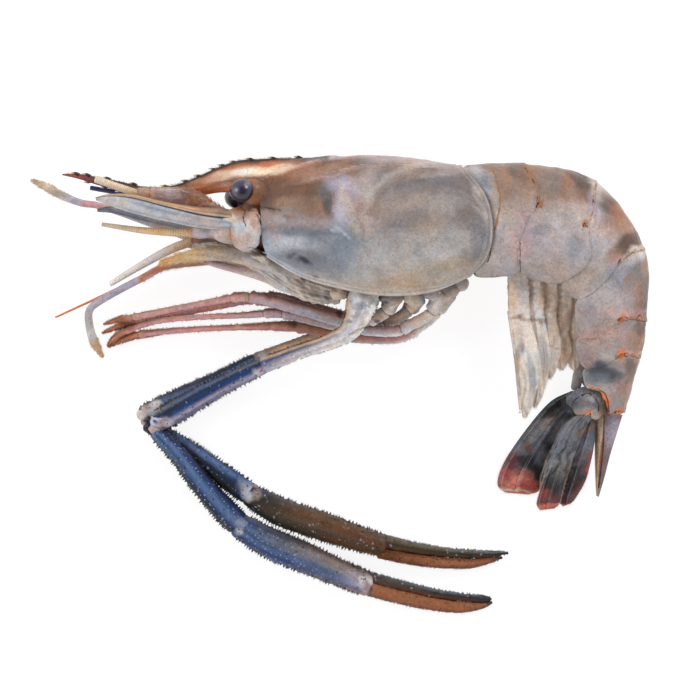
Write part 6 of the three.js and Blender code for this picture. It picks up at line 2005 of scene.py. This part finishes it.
def telson():
    form = blade([
        [77.4, -6, 85.2, -9.2, 9.4, 3.2], [77, -14.6, 83.6, -14.4, 9, 2.8], [76.9, -21, 81.6, -21, 8.4, 2.2],
        [77.1, -28, 79.8, -28.2, 7.6, 1.5], [77.4, -33.4, 78.2, -33.8, 7, 0.5],
    ], across=24, step=0.45, camber=0, thin_edge=0.1)
    base = gradient(form.values["width"], [
        (0, "bone"), (0.08, "brown"), (0.16, "sand"), (0.3, "tan"), (0.36, "brown"), (0.5, "mauve"),
        (0.7, "smoke"), (1, "maroon")])
    form.paint(painted(form.places, base, [
        ("lilac", 0.6, (82, -13.7), (3, 5)), ("maroon", 0.5, (79.6, -25.6), (1.4, 7)),
        ("brown", 0.6, (77.5, -18.4), (0.5, 8)), ("orange", 0.6, (84.1, -8.2), (1.4, 1.2)),
    ], waver=0.2))
    return with_lines(form, dark=[[(79.6, -8.8), (79.3, -19.3), (78.1, -31)]], pale=(), ochre=())


TAIL_BLADES = {
    "uropod_left_outer": (
        [
            [71.2, -9.2, 76.4, -9.4, 13.4, 0.7], [68.2, -12, 74.2, -12.8, 13, 0.8],
            [65.2, -18.1, 71.4, -19.3, 12, 0.8], [61.8, -27.6, 68.2, -28.3, 10.6, 0.7],
            [59.5, -35.2, 66.4, -35.4, 9.4, 0.5], [60.4, -37.7, 64.8, -37.2, 9.2, 0.3]],
        [(0, "smoke"), (0.3, "slate"), (0.5, "smoke"), (0.68, "dark slate"), (0.85, "plum"), (1, "crimson")]
    ),
    "uropod_left_inner": (
        [
            [74.4, -9.8, 77.3, -10, 10.4, 0.7], [71.8, -15.2, 76.9, -16.7, 9.8, 0.8],
            [69, -21.6, 75.8, -23, 9, 0.8], [66.8, -29, 74, -29.3, 8, 0.7],
            [66, -34.6, 71.2, -34.2, 7, 0.5], [67.4, -36.6, 69.8, -35.8, 6.8, 0.3]],
        [(0, "taupe"), (0.25, "smoke"), (0.45, "plum grey"), (0.75, "plum"), (0.92, "maroon"), (1, "salmon")]
    ),
    "uropod_right_inner": (
        [
            [71, -9.2, 76.6, -9.8, 6.4, 0.7], [66.8, -13, 75, -15.4, 6.2, 0.8],
            [63.6, -20, 72, -22, 5.8, 0.8], [61, -27.4, 69.4, -29.4, 5, 0.7],
            [60.6, -32, 67, -34.2, 4.4, 0.4]],
        [(0, "dark slate"), (0.5, "near black"), (1, "plum")]),
    "uropod_right_outer": (
        [
            [70.4, -1.8, 74.6, -7.4, 3, 0.7], [63.3, -5.6, 70.4, -13, 3, 0.8],
            [54.8, -15.8, 65.6, -21.2, 2.8, 0.8], [49.3, -24.6, 62.6, -27.6, 2.3, 0.8],
            [47.9, -30.2, 60.4, -32, 1.8, 0.5], [50.2, -32.6, 57.4, -33.2, 1.6, 0.3]],
        [
            (0, "slate"), (0.3, "dark slate"), (0.5, "slate"), (0.68, "near black"), (0.84, "maroon"),
            (1, "salmon")])}
TAIL_MARKS = [
    ("near black", 0.95, (65.2, -6.8), (4.4, 1.5), 40), ("slate", 0.8, (70, -4), (3, 1.6), 35),
    ("near black", 0.7, (61.9, -10.7), (3, 1.4), 50),
    ("green blue", 0.9, 0.9, (71, -1.6), (61.9, -6.1), (52.9, -16.6), (49.4, -22.6)),
    ("smoke", 0.8, (60.4, -13.7), (5, 2.2), 50), ("warm grey", 0.5, (62.8, -11.8), (3, 1), 50),
    ("clay", 0.5, (57.4, -19.6), (2, 1.2), 40), ("brown", 0.6, (56.5, -18.8), (1.4, 1)),
    ("near black", 0.9, (63.4, -18.1), (2.4, 5), -30), ("near black", 0.95, (56.9, -22.6), (4, 3), 20),
    ("near black", 0.9, (59.8, -25.6), (3.4, 4)), ("slate", 0.5, (60.8, -21.1), (2, 3)),
    ("smoke", 0.4, (55, -20.2), (2, 2)), ("salmon", 0.95, (53.2, -29.2), (5.4, 3), -12),
    ("crimson", 0.9, (49.9, -25.6), (2.2, 4)), ("crimson", 0.85, (57.4, -30.8), (4, 1.8)),
    ("maroon", 0.9, (51.8, -22.6), (2, 3)), ("cream", 0.5, (52, -31.9), (5, 0.5), -8),
    ("blue grey", 0.5, 0.5, (70.3, -7.6), (66.8, -15.1), (63.4, -23.2), (61.9, -28.1)),
    ("near black", 0.7, 0.5, (72.5, -10), (68.8, -16.1), (65.5, -23.2), (62.8, -29.2)),
    ("smoke", 0.6, (68, -13.7), (3, 5), -65), ("near black", 0.8, (63.4, -31.6), (3, 4)),
    ("crimson", 0.7, (61.9, -33.8), (2.4, 2)), ("maroon", 0.8, (64, -34.6), (3, 2)),
    ("salmon", 0.7, (63.4, -36.8), (3, 0.8)),
    ("smoke", 0.5, 0.5, (76, -12.2), (71.8, -20.2), (68.8, -28.6)),
    ("near black", 0.6, 0.6, (74.2, -11.2), (70, -19.6), (67.3, -30.1)),
    ("slate", 0.5, (74.8, -16.6), (2, 4), -65), ("near black", 0.8, (70.3, -29.2), (3, 4)),
    ("crimson", 0.8, (76, -25.1), (1.2, 5)), ("maroon", 0.8, (73, -31.6), (3, 1.6), 30),
    ("clay", 0.5, (75.5, -13.7), (1, 4), -70)]


def tail_blade(name):
    """A leaf of the tail fan: ribs, fine rays and a dark pattern that turns red towards its tip."""
    stations, ground = TAIL_BLADES[name]
    ribs = lambda part, width, plan: (
        0.5 * bell(width - 0.12, 0.06) + 0.45 * bell(width - 0.5, 0.05) + 0.05 * np.sin(width * 70)
        + 0.12 * ripple(plan, 4, 71))
    form = blade(stations, across=40, step=0.45, camber=0.6, relief=ribs)
    width, part = form.values["width"], form.values["part"]
    rays = 0.5 + 0.5 * np.sin(width * 70 + 2 * ripple(form.places, 6, 72))
    base = mixed(gradient(part, ground), linear("near black"), 0.3 * rays)
    form.paint(painted(form.places, base, TAIL_MARKS, waver=0.6))
    form.values["dark"] = np.abs(width - 0.42) * 9 + 0.15
    form.values["pale"] = np.minimum(np.abs(width - 0.1) * 9, np.abs(width - 0.5) * 9) + 0.1
    form.values["ochre"] = np.minimum(width, 1 - width) * 12 + FAR_AWAY * smooth(0.6, 0.4, part) + 0.1
    return form


def fan_hairs():
    forms = []
    for number, (stations, _) in enumerate(TAIL_BLADES.values()):
        rim, out = blade_rim(stations, start=0.5)
        forms.append(
            rim_bristles(rim, out, 0.3, 0.45, linear("tan"), lean=(-0.3, -0.8, 0), seed=111 + number))
    return joined(*forms)


# (x, y), radii in plan and height: the lobes that the fan's leaves hang from.
UROPOD_LOBES = [
    ((74.2, -3.8), (4.6, 3, 1.2)), ((71.5, -4.6), (3.2, 2.6, 1.1)), ((77, -6.1), (2.2, 4.6, 1.3)),
    ((73.3, -6.8), (3.2, 2.6, 1.3)),
]
FAN_BASE_HEIGHTS = {"left": 14, "right": 5.8}
UROPOD_MARKS = [
    ("slate", 0.7, (72.5, -5.8), (3, 1.4), 20), ("warm grey", 0.7, (75.5, -4), (3, 1.4), -20),
    ("dark slate", 0.6, (70, -5.2), (1.4, 2)), ("toffee", 0.5, (74, -5.8), (2, 0.8)),
    ("orange", 0.8, (74.5, -8.5), (1.2, 0.8)), ("pearl", 0.9, (71.8, 3.1), (2.4, 4)),
    ("slate", 0.5, (72.8, 0.1), (1, 2)), ("dark brown", 0.8, (73.6, -10), (1.6, 1)),
    ("amber", 0.7, (72.8, -11.8), (1, 2), -20), ("chalk", 0.5, (76.6, -4), (1.6, 1.4)),
    ("ochre", 0.4, (71.5, -8.2), (2, 0.6)), ("sand", 0.7, (78.8, -6.1), (0.8, 5))]


def uropod_base(side):
    z = FAN_BASE_HEIGHTS[side]
    sign = 1 if side == "left" else -1
    lobes = [
        ball((x, y, z), radii, rings=16, sides=28, lumps=0.2, lump_size=3, seed=73)
        for (x, y), radii in UROPOD_LOBES]
    wedge = Limb([
        [74.5, -7.9, z - 0.4 * sign, 1.2, 1.2], [73.3, -10.7, z - sign, 0.9, 1],
        [72.1, -13.9, z - 1.4 * sign, 0.3, 0.5]])
    strip = Limb([
        [78.8, -1.6, z - 2, 0.8, 1.2], [79, -6.5, z - 3, 1.1, 1.2], [78.5, -11.8, z - 4, 1, 1.2],
        [78.1, -17.8, z - 4.4, 0.3, 0.5]])
    flap = Limb([[73, 6.8, z - 3, 1, 1], [72.1, 3.1, z - 2.6, 1.5, 1], [71.2, -1.1, z - 2, 1.3, 1]])
    form = joined(*lobes, *[part.form(sides=16, step=0.5) for part in (wedge, strip, flap)])
    base = gradient(form.places[:, 1], [
        (-14, "sand"), (-9, "warm grey"), (-6, "smoke"), (-3, "slate"), (6, "slate")])
    form.paint(painted(form.places, base, UROPOD_MARKS, waver=0.4))
    outline = nearest_line(form.places[:, :2], [
        (69.8, -7.6), (70.3, -5.2), (72.8, -3.1), (75.5, -2.9), (77.5, -5.2), (77.8, -8.2)])
    form.values["dark"] = np.minimum(outline, 0.2 + 1.6 * np.abs(ripple(form.places, 3.6, 74)))
    return with_lines(form, pale=(), ochre=[[(70, -8.8), (72.5, -9.8), (74.8, -8.8), (77.5, -7)]])


# ---- building ----


def build_body():
    piece("shell_carapace", carapace(), SHELL_SKIN, "shell", "carapace")
    piece("rostrum", rostrum(), SHELL_SKIN, "shell")
    for number in range(SEGMENTS):
        piece(f"shell_segment_{number + 1}", segment(number), SHELL_SKIN, "shell", f"abdomen_{number + 1}")
    piece(
        "thorax_flesh", core(THORAX, np.linspace(0.02, 0.99, 50), 1.1, 0.04, 51), FLESH, "underside",
        "thorax_underside")
    piece("tail_flesh", core(ABDOMEN, np.linspace(0.01, 0.985, 70), 1.0, 0.03, 53), FLESH, "underside")


def build_head():
    piece("head_block", head_core(), HEAD_SKIN, "head", "head")
    for name, side in (("left", 1), ("right", -1)):
        piece(f"eye_globe_{name}", eye(side), EYE_SKIN, "eye", f"eye_{name}")
        piece(f"eye_stem_{name}", eye_stalk(side), HEAD_SKIN, "head")
        base = antenna_base(side)
        piece(
            f"antenna_block_{name}", joined(base, antenna_stem(side)), HEAD_SKIN, "head",
            f"antenna_stem_{name}")
        piece(f"scale_{name}", antennal_scale(side), HEAD_SKIN, "head", f"antennal_scale_{name}")
        piece(f"peduncle_{name}", antennule(side), HEAD_SKIN, "head", f"antennule_{name}")
    for name in FLAGELLA:
        piece(f"whip_{name}", flagellum(name), ANTENNA_SKIN, "antenna", name)
    bristles("peduncle_hairs", limb_hairs("peduncle", peduncle_stations(1)), "head", girth=0.12)
    bristles("rostrum_hairs", rostrum_hairs(), "shell", girth=0.12)
    piece("mouth_plates", mouth_plates(), LEG_SKIN, "head")


def build_legs():
    for name, stations in MOUTH_LEGS.items():
        base = [(0, "pearl"), (0.5, "bone"), (0.8, "straw"), (1, "tan")]
        piece(f"mouth_{name}", limb_piece(stations, base, LIMB_MARKS), LEG_SKIN, "first_leg", name)
        bristles(f"hairs_{name}", limb_hairs(name, stations), "first_leg", girth=0.07)
    for name, stations in FIRST_LEGS.items():
        base = [(0, "bone"), (0.2, "white"), (0.35, "pink grey"), (0.6, "lilac"), (0.8, "chalk"), (1, "bone")]
        piece(
            f"small_{name}", limb_piece(stations, base, LIMB_MARKS, shade=0.15), LEG_SKIN, "first_leg",
            name)
        bristles(f"hairs_{name}", limb_hairs(name, stations), "first_leg", girth=0.07)
    for name in WALKING_LEGS:
        piece(f"leg_{name}", walking_leg(name), LEG_SKIN, "leg", name)
        bristles(f"hairs_{name}", leg_hairs(name), "leg", girth=0.12)
    piece("leg_sockets", leg_sockets(), LEG_SKIN, "leg")
    for side in ("left", "right"):
        build_claw(side)


def build_claw(side):
    piece(f"claw_root_{side}", claw_part(side, "base"), CLAW_SKIN, "claw_base", f"claw_{side}_base")
    for name in ("merus", "carpus"):
        piece(f"claw_arm_{side}_{name}", claw_part(side, name), CLAW_SKIN, "claw", f"claw_{side}_{name}")
    palm = joined(claw_part(side, "palm"), claw_part(side, "finger"))
    piece(f"claw_hand_{side}", palm, CLAW_SKIN, "claw", f"claw_{side}_palm")
    piece(f"claw_thumb_{side}", claw_part(side, "dactyl"), VELVET, "finger", f"claw_{side}_dactyl")
    spines = [claw_spines(side, name) for name in ("base", "merus", "carpus", "palm", "finger", "dactyl")]
    bristles(f"claw_spines_{side}", joined(*spines), "claw", girth=0.26, sides=5)
    warts = [
        claw_warts(side, name) for name in ("base", "merus", "carpus", "palm")
        if f"{side} {name}" in CLAW_WARTS]
    bristles(f"claw_warts_{side}", joined(*warts), "claw", girth=0.24, tip=0.1, sides=8, unevenness=0.5)


def build_tail():
    for side in ("left", "right"):
        for number in range(len(SWIMMING_LEGS)):
            name = f"swimming_leg_{side}_{number + 1}"
            piece(f"leaf_{name}", swimming_leg(number, side), LEAF_SKIN, "swimming_leg", name)
        bristles(f"leaf_hairs_{side}", leaf_hairs(side), "swimming_leg", girth=0.06)
        piece(f"fan_base_{side}", uropod_base(side), TAIL_SKIN, "shell", f"uropod_{side}_base")
    piece("tail_spine", telson(), TAIL_SKIN, "tail_fan", "telson")
    for name in TAIL_BLADES:
        piece(f"fan_{name}", tail_blade(name), TAIL_SKIN, "tail_fan", name)
    bristles("fan_hairs", fan_hairs(), "tail_fan", girth=0.06)


build_body()
build_head()
build_legs()
build_tail()


# ---- floor and light ----
FLOOR_HALF = 1.5
FLOOR_GLOW = 0.86
FLOOR_WHITE = 0.24


def floor():
    mesh = bpy.data.meshes.new("floor")
    half = FLOOR_HALF
    corners = [(-half, -half, 0), (half, -half, 0), (half, half, 0), (-half, half, 0)]
    mesh.from_pydata(corners, [], [(0, 1, 2, 3)])
    item = bpy.data.objects.new("floor", mesh)
    item.location.z = -0.0001
    bpy.context.scene.collection.objects.link(item)
    material = bpy.data.materials.new("floor")
    material.use_nodes = True
    shader = material.node_tree.nodes["Principled BSDF"]
    shader.inputs["Base Color"].default_value = (FLOOR_WHITE, FLOOR_WHITE * 0.96, FLOOR_WHITE * 0.99, 1)
    shader.inputs["Roughness"].default_value = 0.9
    shader.inputs["Specular IOR Level"].default_value = 0
    shader.inputs["Emission Color"].default_value = (1, 1, 1, 1)
    shader.inputs["Emission Strength"].default_value = FLOOR_GLOW
    mesh.materials.append(material)


def world():
    """Bright all round and darker overhead, as in a light tent with the camera looking in."""
    tent = bpy.data.worlds.new("tent")
    bpy.context.scene.world = tent
    tent.use_nodes = True
    nodes = Nodes(tent.node_tree)
    height = nodes.add("SeparateXYZ", {0: nodes.add("TexCoord").outputs["Generated"]}).outputs["Z"]
    strength = nodes.remap(height, 0.5, 0.95, 1.15, 0.1, "SMOOTHSTEP")
    background = tent.node_tree.nodes["Background"]
    background.inputs["Color"].default_value = (1, 1, 1, 1)
    tent.node_tree.links.new(strength, background.inputs["Strength"])


def lamp(name, place, size, power):
    data = bpy.data.lights.new(name, "AREA")
    data.size = size
    data.energy = power
    item = bpy.data.objects.new(name, data)
    item.location = place
    aim = -np.array(place)
    item.rotation_euler = (
        math.atan2(math.hypot(aim[0], aim[1]), -aim[2]), 0, math.atan2(aim[1], aim[0]) - math.pi / 2)
    bpy.context.scene.collection.objects.link(item)


floor()
world()
lamp("key", (0.5, 0.55, 0.6), 0.35, 3.2)
lamp("fill", (-0.7, 0.1, 0.55), 0.35, 1.8)
bpy.context.scene.view_settings.view_transform = "Standard"
